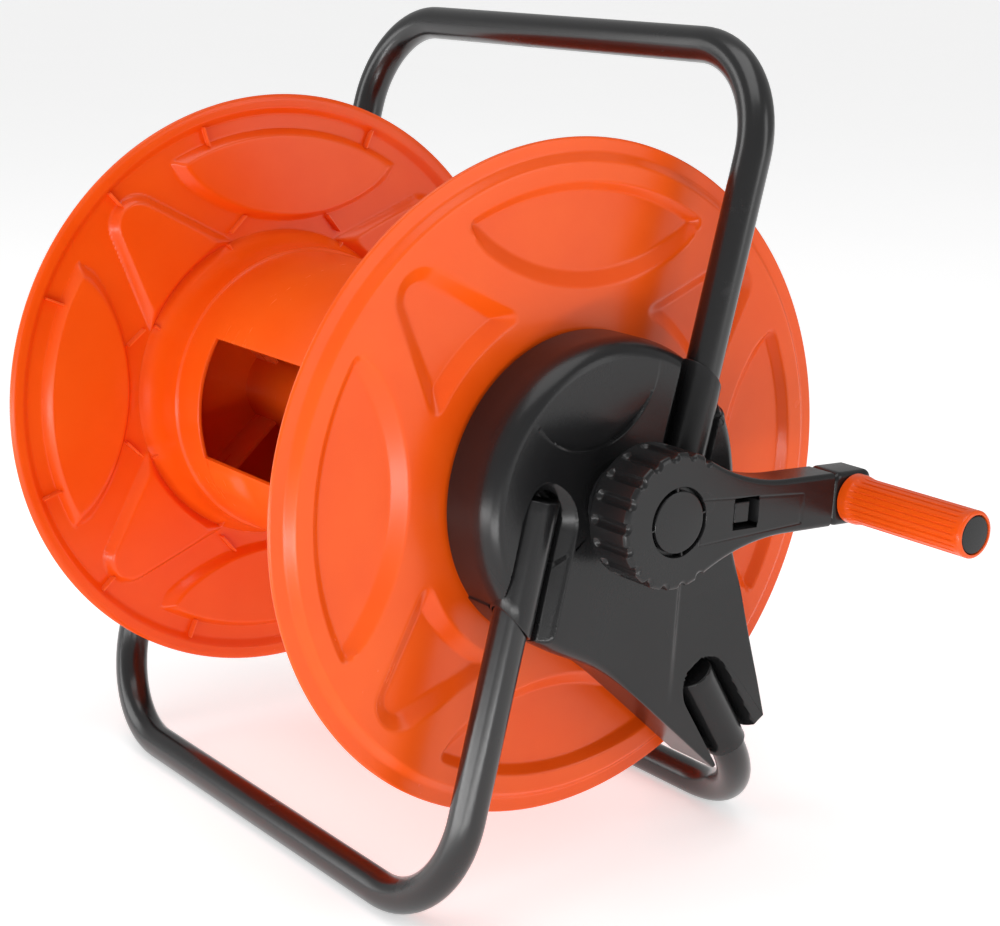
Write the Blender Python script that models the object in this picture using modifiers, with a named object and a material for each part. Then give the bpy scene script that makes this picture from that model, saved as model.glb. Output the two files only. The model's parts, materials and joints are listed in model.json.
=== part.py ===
"""Portable garden hose reel: a spool with a crank, carried by two side brackets on a stand of bent tube.

World frame: +X points to the crank side, +Z up, the front leg is on -Y. The origin is on the floor, under
the middle of the whole reel's box. Every outline below is written as (y, z) seen from +X, about the spool's
axis.
"""
import bpy
import bmesh
from math import acos, atan2, cos, pi, radians, sin, sqrt

MM = 0.001
GAP = 0.3 * MM                      # between pieces that touch
SLIDE = 0.4 * MM                    # radial play of a turning fit
OVERSHOOT = 5.0 * MM                # cutters run this far past a face
EDGE = 1.2 * MM                     # broken edge of a moulded piece

# spool
FLANGE_RADIUS = 185.0 * MM
FLANGE_X = 147.5 * MM               # middle of the rim's wall, from the spool's middle
SHELL = 2.5 * MM                    # wall of the moulded spool parts
RELIEF = 4.3 * MM                   # main face stands this far outside the rim
LIP_WIDTH = 7.8 * MM
CHAMFER_RUN = 4.6 * MM
DRUM_RADIUS = 90.5 * MM
DRUM_STEP = 1.5 * MM                # collar at each end of the drum
DRUM_COLLAR = 29.0 * MM             # its length
DRUM_FLARE = 8.0 * MM
FLARE_START = 8.0 * MM              # from the collar's step to the flare
CORE_RADIUS = 27.0 * MM
WINDOW_CENTRE = radians(175.7)      # from the crank's direction
WINDOW_HALF_ANGLE = radians(24)
WINDOW_MARGIN = 54.5 * MM           # from the rim's wall to the window
GUSSETS = 4                         # walls between core tube and skin, in line with the flanges' fan pockets
GUSSET_DEPTH = 24.0 * MM
LENS_MARGIN = 10.0 * MM             # from the chamfer to the lens pockets
LENS_BULGE = 2.6 * MM               # the lenses stay this far outside the fans' inner arc
LENS_HALF_ANGLE = radians(31)
FAN_CLEAR = 4.0 * MM                # from the drum's flare to the fans' inner arc
FAN_HALF_ANGLE = radians(21)
FAN_END_RADIUS = 15.0 * MM
FAN_MARGIN = 9.0 * MM               # from the chamfer to the fan's round end
SPOOL_STEPS = 36
ROUND_STEPS = 20
SMALL_STEPS = 12

# bearings
JOURNAL_RADIUS = 16.2 * MM
JOURNAL_WALL = 3.7 * MM
JOURNAL_CLEAR = 1.8 * MM            # from its end to the crank
WEB_DEPTH = 6.0 * MM                # wall across the journal that the crank's screw bites
BUSH_WALL = 3.0 * MM
BUSH_LIP = 3.0 * MM
BUSH_LIP_DEPTH = 1.9 * MM
WASHER_THICKNESS = 1.6 * MM
WASHER_RADIUS = 24.0 * MM

# stand
TUBE_RADIUS = 10.0 * MM
TUBE_WALL = 1.2 * MM
TUBE_SUNK = 8.8 * MM                # the side tubes' middle lies this far behind the brackets' front
TUBE_SIDES = 12
BEND_STEPS = 5
HANDLE_BEND = 57.5 * MM
LEG_BEND = 59.4 * MM
HANDLE_ANGLE = radians(73.7)
HANDLE_INSET = 40.8 * MM            # the tube's line lies this far inside the brackets' edge
HANDLE_RISE = 63.9 * MM             # the handle bar's line runs this far past the flange's radius
FRONT_ANGLE = radians(-105.7)
FRONT_INSET = 36.4 * MM
REAR_ANGLE = radians(-60.3)
REAR_OFFSET = 3.3 * MM
FLOOR_CLEAR = 29.0 * MM             # from the flange's lowest point to the foot bars' middle

# side brackets
BRACKET_CLEAR = 2.95 * MM           # from the flange's face
BRACKET_DEPTH = 36.5 * MM
BRACKET_RADIUS = 85.5 * MM
BRACKET_WALL = 2.6 * MM
BRACKET_EDGE = 5.0 * MM             # rounding of the front edge
TAIL_ROOT = 57.0 * MM               # half width of the tail where it leaves the disc
TAIL_TIP = 22.5 * MM
TAIL_START = 60.0 * MM
TAIL_LENGTH = 98.5 * MM             # from the disc's rim to the tail's end
TAIL_CORNER = 4.0 * MM
BLEND_POWER = 12                    # sharpness of the fillet between disc and tail
OUTLINE_STEPS = 44
SLOT_SIDE = 7.0 * MM                # free space beside a tube in its slot
SLOT_BACK = 6.0 * MM                # the slot starts this far past the sleeve's start
SLEEVE_WALL = 1.2 * MM
SLEEVE_PLUG = 3.0 * MM              # closed end of a sleeve
SLEEVE_ROOT = 4.0 * MM              # the sleeve's end runs this far into the bracket
SLEEVE_PROUD = 1.0 * MM             # two sleeves end this far outside the disc's rim
HANDLE_SLEEVE = 1.0 * MM            # where each sleeve starts along its tube's line
FRONT_SLEEVE = 4.5 * MM
REAR_SLEEVE = 127.0 * MM
SCREW_INSET = 18.0 * MM             # joint screws, from the sleeve's open end
HUB_BOSS_WALL = 6.0 * MM

# crank
CRANK_ANGLE = radians(-4.7)
CRANK_LENGTH = 127.7 * MM
CRANK_CLEAR = 25.3 * MM             # from the bracket's front
CRANK_DEPTH = 20.5 * MM
CRANK_HUB = 36.0 * MM
CRANK_HALF = 14.9 * MM              # half width of the arm
CRANK_BLEND = 120.0 * MM            # hollow side of the arm
CRANK_WALL = 2.6 * MM
SEAM_INSET = 15.7 * MM              # from the grip's axis back to the tip block's seam
TIP_REACH = 13.3 * MM               # from the grip's axis to the tip's end
TIP_CORNER = 6.0 * MM
GROOVE_RADIUS = 2.3 * MM
GROOVE_RISE = 0.6 * MM              # the grooves' middle lies this far outside the hub
GROOVE_START = 3.0 * MM             # from the hub's back face
GROOVE_PITCH = radians(20)
GROOVE_COUNT = 13
CAP_RADIUS = 15.0 * MM
CAP_RECESS = 18.3 * MM
CAP_DEPTH = 4.0 * MM
CAP_EDGE = 1.0 * MM
CORE_WALL = 3.0 * MM                # solid core of the hub outside the journal's radius
LATCH_MIDDLE = 46.5 * MM
LATCH_HALF = 7.0 * MM
LATCH_PLAY = 2.0 * MM
WINDOW_DEPTH = 12.0 * MM
TONGUE_THICKNESS = 3.0 * MM
SCREW_SHANK = 2.6 * MM
SCREW_HEAD = 5.2 * MM
HEAD_DEPTH = 3.0 * MM
LOW_HEAD = 1.8 * MM
SEAT_DEPTH = 6.0 * MM               # the crank screw's head below the cap

# grip
GRIP_LENGTH = 85.3 * MM
GRIP_RADIUS = 12.6 * MM
GRIP_EDGE = 1.5 * MM
COLLAR_RADIUS = 14.1 * MM
COLLAR_LENGTH = 6.0 * MM
GRIP_FLARE = 12.0 * MM              # the collar tapers to the grip over this length
PIN_RADIUS = 6.5 * MM
END_CAP_RADIUS = 10.2 * MM
END_CAP_DEPTH = 4.0 * MM
END_CAP_SUNK = 0.2 * MM

# water way
AXLE_RADIUS = 9.0 * MM
AXLE_BORE = 6.0 * MM
OUTLET_X = 50.0 * MM
OUTLET_BRANCH = 22.0 * MM           # the branch reaches this far past the core tube
PORT_PLAY = 1.5 * MM
SWIVEL_CLEAR = 1.0 * MM             # from the journal's end
SWIVEL_LENGTH = 30.0 * MM
SWIVEL_RADIUS = 15.5 * MM
SWIVEL_WALL = 3.0 * MM
SWIVEL_EDGE = 2.0 * MM
ELBOW_RADIUS = 11.5 * MM
ELBOW_DROP = 36.0 * MM
NIPPLE_LENGTH = 30.0 * MM
NIPPLE_RADIUS = 8.5 * MM
NIPPLE_SHOULDER = 4.0 * MM
NIPPLE_NOSE = 12.0 * MM             # from the nipple's end to its seal's groove
SEAL_GROOVE = 4.0 * MM
SEAL_DEPTH = 1.6 * MM
BARB_STEP = 1.5 * MM
BARB_LENGTH = 6.0 * MM
O_RING = 1.3 * MM                   # half the thickness of a seal
RING_PLACE = 9.0 * MM               # the axle's seal, from the swivel's inner face
CLIP_PLACE = 3.0 * MM               # the retaining clip, inside that face
CLIP_THICKNESS = 1.6 * MM

# derived places, along the axis from the spool's middle outwards
LIP_IN = FLANGE_X - SHELL / 2
LIP_OUT = FLANGE_X + SHELL / 2
FACE_IN = LIP_IN + RELIEF
FACE_OUT = LIP_OUT + RELIEF
BRACKET_BACK = FACE_OUT + BRACKET_CLEAR
BRACKET_FRONT = BRACKET_BACK + BRACKET_DEPTH
TUBE_SPREAD = BRACKET_FRONT - TUBE_SUNK
SLOT_FLOOR = TUBE_SPREAD - TUBE_RADIUS - GAP / 3
CRANK_BACK = BRACKET_FRONT + CRANK_CLEAR
CRANK_FRONT = CRANK_BACK + CRANK_DEPTH
JOURNAL_REACH = CRANK_BACK - JOURNAL_CLEAR
WEB_END = BRACKET_FRONT - GAP
WEB_START = WEB_END - WEB_DEPTH
GRIP_END = CRANK_FRONT + GRIP_LENGTH
SWIVEL_START = JOURNAL_REACH + SWIVEL_CLEAR
SWIVEL_END = SWIVEL_START + SWIVEL_LENGTH
DRUM_STEP_X = FLANGE_X - DRUM_COLLAR
WINDOW_HALF_LENGTH = FLANGE_X - WINDOW_MARGIN

# derived places, across the axis
LEG_DROP = FLANGE_RADIUS + FLOOR_CLEAR
HANDLE_REACH = FLANGE_RADIUS + HANDLE_RISE
TAIL_END = BRACKET_RADIUS + TAIL_LENGTH
HANDLE_OFFSET = BRACKET_RADIUS - HANDLE_INSET   # from the axis to the tube's line
FRONT_OFFSET = BRACKET_RADIUS - FRONT_INSET
SEAM = CRANK_LENGTH - SEAM_INSET
TIP_END = CRANK_LENGTH + TIP_REACH
CHAMFER_FOOT = FLANGE_RADIUS - LIP_WIDTH
CHAMFER_TOP = CHAMFER_FOOT - CHAMFER_RUN
FAN_INNER_RADIUS = DRUM_RADIUS + DRUM_STEP + DRUM_FLARE + FAN_CLEAR
JOURNAL_BORE = JOURNAL_RADIUS - JOURNAL_WALL
BUSH_RADIUS = JOURNAL_RADIUS + SLIDE + BUSH_WALL
SLOT_HALF = TUBE_RADIUS + SLOT_SIDE
SLEEVE_BORE = (TUBE_RADIUS + GAP) / cos(pi / TUBE_SIDES)   # its flats clear the tube's corners
SLEEVE_RADIUS = SLEEVE_BORE + SLEEVE_WALL
NIPPLE_DROP = ELBOW_DROP + NIPPLE_LENGTH
AXIS_Z = LEG_DROP + TUBE_RADIUS * cos(pi / TUBE_SIDES)
AXIS_X = (SWIVEL_END - GRIP_END) / 2
FACING_X = (pi / 2, 0, pi / 2)      # local XY plane becomes world YZ, local Z becomes world X

PARTS = "garden_hose_reel"
CUTTERS = "cutters"


# ---------------------------------------------------------------- scene, materials and basic makers
def clear_scene():
    for item in list(bpy.data.objects):
        bpy.data.objects.remove(item, do_unlink=True)
    for name in (PARTS, CUTTERS):
        group = bpy.data.collections.new(name)
        bpy.context.scene.collection.children.link(group)


def make_material(name, colour, roughness, metallic=0.0):
    material = bpy.data.materials.new(name)
    material.use_nodes = True
    shader = material.node_tree.nodes["Principled BSDF"]
    shader.inputs["Base Color"].default_value = (*colour, 1.0)
    shader.inputs["Roughness"].default_value = roughness
    shader.inputs["Metallic"].default_value = metallic
    return material


def group_named(base):
    return next(group for group in bpy.data.collections if group.name.startswith(base))


def add_object(name, mesh, x=0.0, cutter=False, finish=None):
    """Put a mesh drawn about the local Z axis on the spool's axis, its zero at x."""
    item = bpy.data.objects.new(name, mesh)
    item.rotation_euler = FACING_X
    item.location = (AXIS_X + x, 0.0, AXIS_Z)
    group_named(CUTTERS if cutter else PARTS).objects.link(item)
    if cutter:
        item.hide_render = True
        item.display_type = "WIRE"
    if finish:
        item.data.materials.clear()
        item.data.materials.append(finish)
    return item


def curve_to_mesh(name, curve):
    """Evaluate a curve and weld its loose caps."""
    item = bpy.data.objects.new(name + "_curve", curve)
    bpy.context.scene.collection.objects.link(item)
    graph = bpy.context.evaluated_depsgraph_get()
    mesh = bpy.data.meshes.new_from_object(item.evaluated_get(graph))
    bpy.data.objects.remove(item, do_unlink=True)
    bpy.data.curves.remove(curve)
    bm = bmesh.new()
    bm.from_mesh(mesh)
    bmesh.ops.remove_doubles(bm, verts=bm.verts, dist=0.00001)
    bmesh.ops.dissolve_limit(bm, angle_limit=radians(0.1), verts=bm.verts, edges=bm.edges)
    bm.to_mesh(mesh)
    bm.free()
    mesh.name = name
    return mesh


def prism(name, outline, x0, x1, cutter=False, finish=None):
    """Flat outline of (y, z) points, extruded from x0 to x1."""
    curve = bpy.data.curves.new(name, "CURVE")
    curve.dimensions = "2D"
    curve.fill_mode = "BOTH"
    curve.extrude = abs(x1 - x0) / 2
    spline = curve.splines.new("POLY")
    spline.points.add(len(outline) - 1)
    for point, (y, z) in zip(spline.points, outline):
        point.co = (y, z, 0.0, 1.0)
    spline.use_cyclic_u = True
    return add_object(name, curve_to_mesh(name, curve), (x0 + x1) / 2, cutter, finish)


def turned(name, profile, steps=24, cutter=False, finish=None):
    """(radius, x) profile turned about the axis, running down its outer side; it closes if off the axis."""
    mesh = bpy.data.meshes.new(name)
    count = len(profile)
    edges = [(i, i + 1) for i in range(count - 1)]
    if profile[0][0] > 0:
        edges.append((count - 1, 0))
    mesh.from_pydata([(r, 0.0, x) for r, x in profile], edges, [])
    item = add_object(name, mesh, 0.0, cutter, finish)
    screw = item.modifiers.new("turn", "SCREW")
    screw.axis = "Z"
    screw.steps = steps
    screw.render_steps = steps
    screw.use_merge_vertices = True
    screw.merge_threshold = 0.00001
    screw.use_normal_calculate = False
    screw.use_smooth_shade = True
    return item


def ring_profile(inner, outer, x0, x1):
    return [(outer, x1), (outer, x0), (inner, x0), (inner, x1)]


def disc_profile(radius, x0, x1):
    return [(0.0, x1), (radius, x1), (radius, x0), (0.0, x0)]


def rod(name, radius, start, end, sides=16, cutter=False, finish=None):
    """Straight round bar between two points, each (x, y, z) about the spool's middle."""
    curve = bpy.data.curves.new(name, "CURVE")
    curve.dimensions = "3D"
    curve.bevel_depth = radius
    curve.bevel_resolution = max((sides - 4) // 2, 0)
    curve.use_fill_caps = True
    spline = curve.splines.new("POLY")
    spline.points.add(1)
    for point, (x, y, z) in zip(spline.points, (start, end)):
        point.co = (y, z, x, 1.0)
    return add_object(name, curve_to_mesh(name, curve), 0.0, cutter, finish)


def boolean(item, other, operation="DIFFERENCE"):
    modifier = item.modifiers.new(operation.lower(), "BOOLEAN")
    modifier.operation = operation
    modifier.solver = "EXACT"
    modifier.object = other
    return item


def join_cutters(name, items):
    """Several cutters made one mesh."""
    graph = bpy.context.evaluated_depsgraph_get()
    bm = bmesh.new()
    for item in items:
        mesh = bpy.data.meshes.new_from_object(item.evaluated_get(graph))
        mesh.transform(item.matrix_world)
        bm.from_mesh(mesh)
        bpy.data.meshes.remove(mesh)
        bpy.data.objects.remove(item, do_unlink=True)
    mesh = bpy.data.meshes.new(name)
    bm.to_mesh(mesh)
    bm.free()
    joined = bpy.data.objects.new(name, mesh)
    joined.hide_render = True
    joined.display_type = "WIRE"
    group_named(CUTTERS).objects.link(joined)
    return joined


def freeze(item):
    """Apply all modifiers, so that the piece can be copied or mirrored."""
    graph = bpy.context.evaluated_depsgraph_get()
    mesh = bpy.data.meshes.new_from_object(item.evaluated_get(graph))
    item.modifiers.clear()
    item.data = mesh
    return item


def reflect(mesh):
    """Mirror a mesh along the spool's axis."""
    bm = bmesh.new()
    bm.from_mesh(mesh)
    for vertex in bm.verts:
        vertex.co.z = -vertex.co.z
    bmesh.ops.reverse_faces(bm, faces=bm.faces)
    bm.to_mesh(mesh)
    bm.free()


def mirrored(item, name):
    """The other side's twin of a finished piece, mirrored through the spool's middle."""
    mesh = item.data.copy()
    reflect(mesh)
    mesh.name = name
    twin = bpy.data.objects.new(name, mesh)
    twin.rotation_euler = item.rotation_euler
    twin.location = (2 * AXIS_X - item.location.x, item.location.y, item.location.z)
    group_named(PARTS).objects.link(twin)
    return twin


def bevel(item, width, angle=radians(40), segments=1):
    modifier = item.modifiers.new("edge", "BEVEL")
    modifier.width = width
    modifier.segments = segments
    modifier.limit_method = "ANGLE"
    modifier.angle_limit = angle
    modifier.use_clamp_overlap = False
    return item


# ---------------------------------------------------------------- plane geometry
def arc(centre, radius, start, end, count):
    step = (end - start) / (count - 1)
    return [(centre[0] + radius * cos(start + i * step), centre[1] + radius * sin(start + i * step))
            for i in range(count)]


def turn(outline, angle):
    return [(y * cos(angle) - z * sin(angle), y * sin(angle) + z * cos(angle)) for y, z in outline]


def offset(outline, distance):
    """Move every side of a counter-clockwise outline outwards, with mitred corners."""
    moved = []
    count = len(outline)
    for i in range(count):
        (ay, az), (by, bz), (cy, cz) = outline[i - 1], outline[i], outline[(i + 1) % count]
        first = sqrt((by - ay) ** 2 + (bz - az) ** 2)
        second = sqrt((cy - by) ** 2 + (cz - bz) ** 2)
        n1 = ((bz - az) / first, -(by - ay) / first)
        n2 = ((cz - bz) / second, -(cy - by) / second)
        scale = distance / max(1.0 + n1[0] * n2[0] + n1[1] * n2[1], 0.5)
        moved.append((by + (n1[0] + n2[0]) * scale, bz + (n1[1] + n2[1]) * scale))
    return moved


def polar(angle, radius):
    return radius * cos(angle), radius * sin(angle)


def line_point(angle, side, along, across=0.0):
    """Point on a tube's line: `along` from the foot of the axis, `across` to its left."""
    foot = side - across
    return (sin(angle) * foot + cos(angle) * along, -cos(angle) * foot + sin(angle) * along)


def lens_outline():
    outer = CHAMFER_TOP - LENS_MARGIN
    tip = (outer * cos(LENS_HALF_ANGLE), outer * sin(LENS_HALF_ANGLE))
    inner = FAN_INNER_RADIUS + LENS_BULGE
    centre = (tip[0] ** 2 + tip[1] ** 2 - inner ** 2) / (2 * (tip[0] - inner))
    radius = centre - inner
    swing = acos((centre - tip[0]) / radius)
    rim = arc((0, 0), outer, -LENS_HALF_ANGLE, LENS_HALF_ANGLE, 7)
    hollow = arc((centre, 0), radius, pi - swing, pi + swing, 7)
    return rim + hollow[1:-1]


def fan_outline():
    centre = CHAMFER_TOP - FAN_MARGIN - FAN_END_RADIUS
    end = arc((centre, 0), FAN_END_RADIUS, radians(-70), radians(70), 6)
    inner = arc((0, 0), FAN_INNER_RADIUS, FAN_HALF_ANGLE, -FAN_HALF_ANGLE, 4)
    return end + inner


def pocket_outlines():
    """Four lens pockets in line with the crank and four fans between them."""
    quarter = pi / 2
    lenses = [turn(lens_outline(), CRANK_ANGLE + i * quarter) for i in range(4)]
    fans = [turn(fan_outline(), CRANK_ANGLE + (i + 0.5) * quarter) for i in range(4)]
    return lenses + fans


# ---------------------------------------------------------------- spool
def flange_profile(solid_journal):
    bore, pilot = JOURNAL_BORE, SCREW_SHANK + GAP
    web = [(bore, WEB_START), (pilot, WEB_START), (pilot, WEB_END), (bore, WEB_END)]
    inner = [(bore, FACE_IN)] + (web if solid_journal else [])
    return [(JOURNAL_RADIUS, JOURNAL_REACH), (JOURNAL_RADIUS, FACE_OUT), (CHAMFER_TOP, FACE_OUT),
            (CHAMFER_FOOT, LIP_OUT), (FLANGE_RADIUS, LIP_OUT), (FLANGE_RADIUS, LIP_IN),
            (CHAMFER_FOOT - SHELL / 2, LIP_IN), (CHAMFER_TOP - SHELL / 2, FACE_IN),
            *inner, (bore, JOURNAL_REACH)]


def flange(name, finish, solid_journal):
    item = turned(name, flange_profile(solid_journal), SPOOL_STEPS, finish=finish)
    pads = [prism("pad", offset(outline, SHELL), LIP_IN, FACE_IN + SHELL / 2, True)
            for outline in pocket_outlines()]
    pockets = [prism("pocket", outline, LIP_OUT, FACE_OUT + SHELL, True) for outline in pocket_outlines()]
    boolean(item, join_cutters(name + "_pads", pads), "UNION")
    boolean(item, join_cutters(name + "_pockets", pockets))
    boolean(item, flange_screw_holes(name + "_holes", SCREW_SHANK + GAP))
    return freeze(item)


def flange_screw_places():
    radius = (CORE_RADIUS + DRUM_RADIUS) / 2
    return [(radius * cos(CRANK_ANGLE + a), radius * sin(CRANK_ANGLE + a)) for a in (pi / 3, pi, 5 * pi / 3)]


def flange_screw_holes(name, radius):
    holes = [rod("hole", radius, (FACE_IN - OVERSHOOT, y, z), (FACE_OUT + OVERSHOOT, y, z), 8, True)
             for y, z in flange_screw_places()]
    return join_cutters(name, holes)


def drum_profile(end):
    """Skin of the drum with a collar and a flare at each end, closed along the core tube's bore."""
    flare_x = DRUM_STEP_X + FLARE_START
    collar = DRUM_RADIUS + DRUM_STEP
    flare = [(collar + DRUM_FLARE * t ** 2.5, flare_x + (end - flare_x) * t) for t in (1.0, 0.66, 0.33, 0.0)]
    half = flare + [(collar, DRUM_STEP_X), (DRUM_RADIUS, DRUM_STEP_X - DRUM_STEP / 2)]
    bore = CORE_RADIUS - SHELL
    return half + [(r, -x) for r, x in reversed(half)] + [(bore, -end), (bore, end)]


def drum(finish):
    end = FACE_IN - GAP
    cheek = end - 2 * SHELL
    skin = turned("drum_core", drum_profile(end), SPOOL_STEPS, finish=finish)
    hollow = ring_profile(CORE_RADIUS, DRUM_RADIUS - SHELL, -cheek, cheek)
    middle = CRANK_ANGLE + WINDOW_CENTRE
    start, stop = middle - WINDOW_HALF_ANGLE, middle + WINDOW_HALF_ANGLE
    sector = arc((0, 0), DRUM_RADIUS * 1.3, start, stop, 7) + arc((0, 0), DRUM_RADIUS * 0.8, stop, start, 7)
    boolean(skin, turned("drum_hollow", hollow, SPOOL_STEPS, True))
    boolean(skin, prism("drum_window", sector, -WINDOW_HALF_LENGTH, WINDOW_HALF_LENGTH, True))
    low, high = CORE_RADIUS - SHELL / 2, DRUM_RADIUS - SHELL / 2
    wall = [(low, -SHELL / 2), (high, -SHELL / 2), (high, SHELL / 2), (low, SHELL / 2)]
    for index in range(GUSSETS):
        outline = turn(wall, CRANK_ANGLE + (index + 0.5) * 2 * pi / GUSSETS)
        for first in (cheek - GUSSET_DEPTH, -cheek - SHELL / 2):
            gusset = prism(f"drum_gusset_{index}", outline, first, first + GUSSET_DEPTH + SHELL / 2, True)
            boolean(skin, gusset, "UNION")
    y, z = polar(middle, CORE_RADIUS + OVERSHOOT)
    port = rod("drum_port", ELBOW_RADIUS + PORT_PLAY, (OUTLET_X, 0, 0), (OUTLET_X, y, z), SMALL_STEPS, True)
    boolean(skin, port)
    for side in (1, -1):
        first, last = side * (cheek - SHELL), side * (end + SHELL)
        holes = [rod("pilot", SCREW_SHANK + GAP, (first, y, z), (last, y, z), 8, True)
                 for y, z in flange_screw_places()]
        boolean(skin, join_cutters(f"drum_pilots_{side}", holes))
    return skin


def screw_along_x(name, place, head_x, tip_x, finish, head=SCREW_HEAD, head_depth=HEAD_DEPTH):
    """Pan-head screw; the head's underside is at head_x and the point at tip_x, on either side of it."""
    way = 1 if head_x > tip_x else -1
    shank = SCREW_SHANK
    profile = [(0.0, head_x + way * head_depth), (head * 0.7, head_x + way * head_depth),
               (head, head_x + way * head_depth / 2), (head, head_x), (shank, head_x),
               (shank, tip_x + way * 2 * shank), (shank * 0.3, tip_x), (0.0, tip_x)]
    item = turned(name, profile if way > 0 else list(reversed(profile)), 8, finish=finish)
    item.location.y += place[0]
    item.location.z += place[1]
    return item


def flange_screws(finish):
    for side, label in ((1, "right"), (-1, "left")):
        for index, place in enumerate(flange_screw_places()):
            screw_along_x(f"flange_screw_{label}_{index + 1}", place, side * (FACE_OUT + GAP),
                          side * (FACE_IN - 2 * SHELL), finish, SCREW_HEAD * 0.9, LOW_HEAD)


# ---------------------------------------------------------------- bearings
def bearings(bush_finish, washer_finish):
    inner, lip = JOURNAL_RADIUS + SLIDE, BUSH_RADIUS + BUSH_LIP
    under, back = BRACKET_FRONT + GAP, BRACKET_BACK + BRACKET_WALL
    top = under + BUSH_LIP_DEPTH
    bush = turned("bearing_bush_right", [(lip, top), (lip, under), (BUSH_RADIUS, under), (BUSH_RADIUS, back),
                                         (inner, back), (inner, top)], ROUND_STEPS, finish=bush_finish)
    mirrored(freeze(bush), "bearing_bush_left")
    start = FACE_OUT + GAP
    ring = ring_profile(JOURNAL_RADIUS + GAP, WASHER_RADIUS, start, start + WASHER_THICKNESS)
    washer = turned("thrust_washer_right", ring, ROUND_STEPS, finish=washer_finish)
    mirrored(freeze(washer), "thrust_washer_left")


# ---------------------------------------------------------------- stand
def tube_lines():
    """Each stand tube: name, angle, offset, first point along its line, reach to the cross bar, bend."""
    def leg_reach(angle, side):
        foot = line_point(angle, side, 0.0)
        return (-LEG_DROP - foot[1]) / sin(angle)
    front, rear = leg_reach(FRONT_ANGLE, FRONT_OFFSET), leg_reach(REAR_ANGLE, REAR_OFFSET)
    return [("handle_tube", HANDLE_ANGLE, HANDLE_OFFSET, HANDLE_SLEEVE, HANDLE_REACH, HANDLE_BEND),
            ("front_leg_tube", FRONT_ANGLE, FRONT_OFFSET, FRONT_SLEEVE, front, LEG_BEND),
            ("rear_leg_tube", REAR_ANGLE, REAR_OFFSET, REAR_SLEEVE, rear, LEG_BEND)]


def stand_tube(name, angle, side, start, reach, bend, finish):
    """U-shaped tube, open at both ends, with one bend at each corner."""
    half = [(start + SLEEVE_PLUG + GAP, TUBE_SPREAD)]
    half += arc((reach - bend, TUBE_SPREAD - bend), bend, pi / 2, 0, BEND_STEPS)
    path = half + [(along, -x) for along, x in reversed(half)]
    curve = bpy.data.curves.new(name, "CURVE")
    curve.dimensions = "3D"
    curve.bevel_depth = TUBE_RADIUS
    curve.bevel_resolution = (TUBE_SIDES - 4) // 2
    curve.use_fill_caps = False
    curve.twist_mode = "MINIMUM"
    spline = curve.splines.new("POLY")
    spline.points.add(len(path) - 1)
    for point, (along, x) in zip(spline.points, path):
        y, z = line_point(angle, side, along)
        point.co = (y, z, x, 1.0)
        point.tilt = angle + pi / TUBE_SIDES
    item = add_object(name, curve_to_mesh(name, curve), 0.0, finish=finish)
    wall = item.modifiers.new("wall", "SOLIDIFY")
    wall.thickness = TUBE_WALL
    wall.offset = -1.0
    return item


def sleeve_span(name, start):
    """Where a sleeve starts and ends along its tube's line; two sleeves end at the disc's rim."""
    if name == "rear_leg_tube":
        return start, TAIL_END
    side = HANDLE_OFFSET if name == "handle_tube" else FRONT_OFFSET
    return start, sqrt((BRACKET_RADIUS + SLEEVE_PROUD) ** 2 - side ** 2)


# ---------------------------------------------------------------- side brackets
def bracket_outline(inset=0.0):
    """Disc with a tapering tail around the rear leg, blended by a smooth maximum of both radii."""
    taper = (TAIL_ROOT - TAIL_TIP) / (TAIL_END - TAIL_START)
    corner = atan2(TAIL_TIP - TAIL_CORNER, TAIL_END)
    corners = [corner * share % (2 * pi) for share in (-1.18, -1, 1, 1.18)]
    angles = sorted([2 * pi * i / OUTLINE_STEPS for i in range(OUTLINE_STEPS)] + corners)
    points = []
    for turn_angle in angles:
        c, s = cos(turn_angle), abs(sin(turn_angle))
        tail = 1e-6
        if c > 0.05:
            side = (TAIL_ROOT + taper * TAIL_START) / (s + taper * c)
            tail = min(side, TAIL_END / c)
        radius = (BRACKET_RADIUS ** BLEND_POWER + tail ** BLEND_POWER) ** (1 / BLEND_POWER)
        points.append(((radius - inset) * c, (radius - inset) * sin(turn_angle)))
    return turn(points, REAR_ANGLE)


def slot_outline(angle, side, start, end, half):
    """Arch around a sleeve: a round end near the hub, open outwards."""
    local = arc((start, 0), half, pi / 2, 3 * pi / 2, 7) + [(end, -half), (end, half)]
    return [line_point(angle, side, along, across) for along, across in local]


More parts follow.
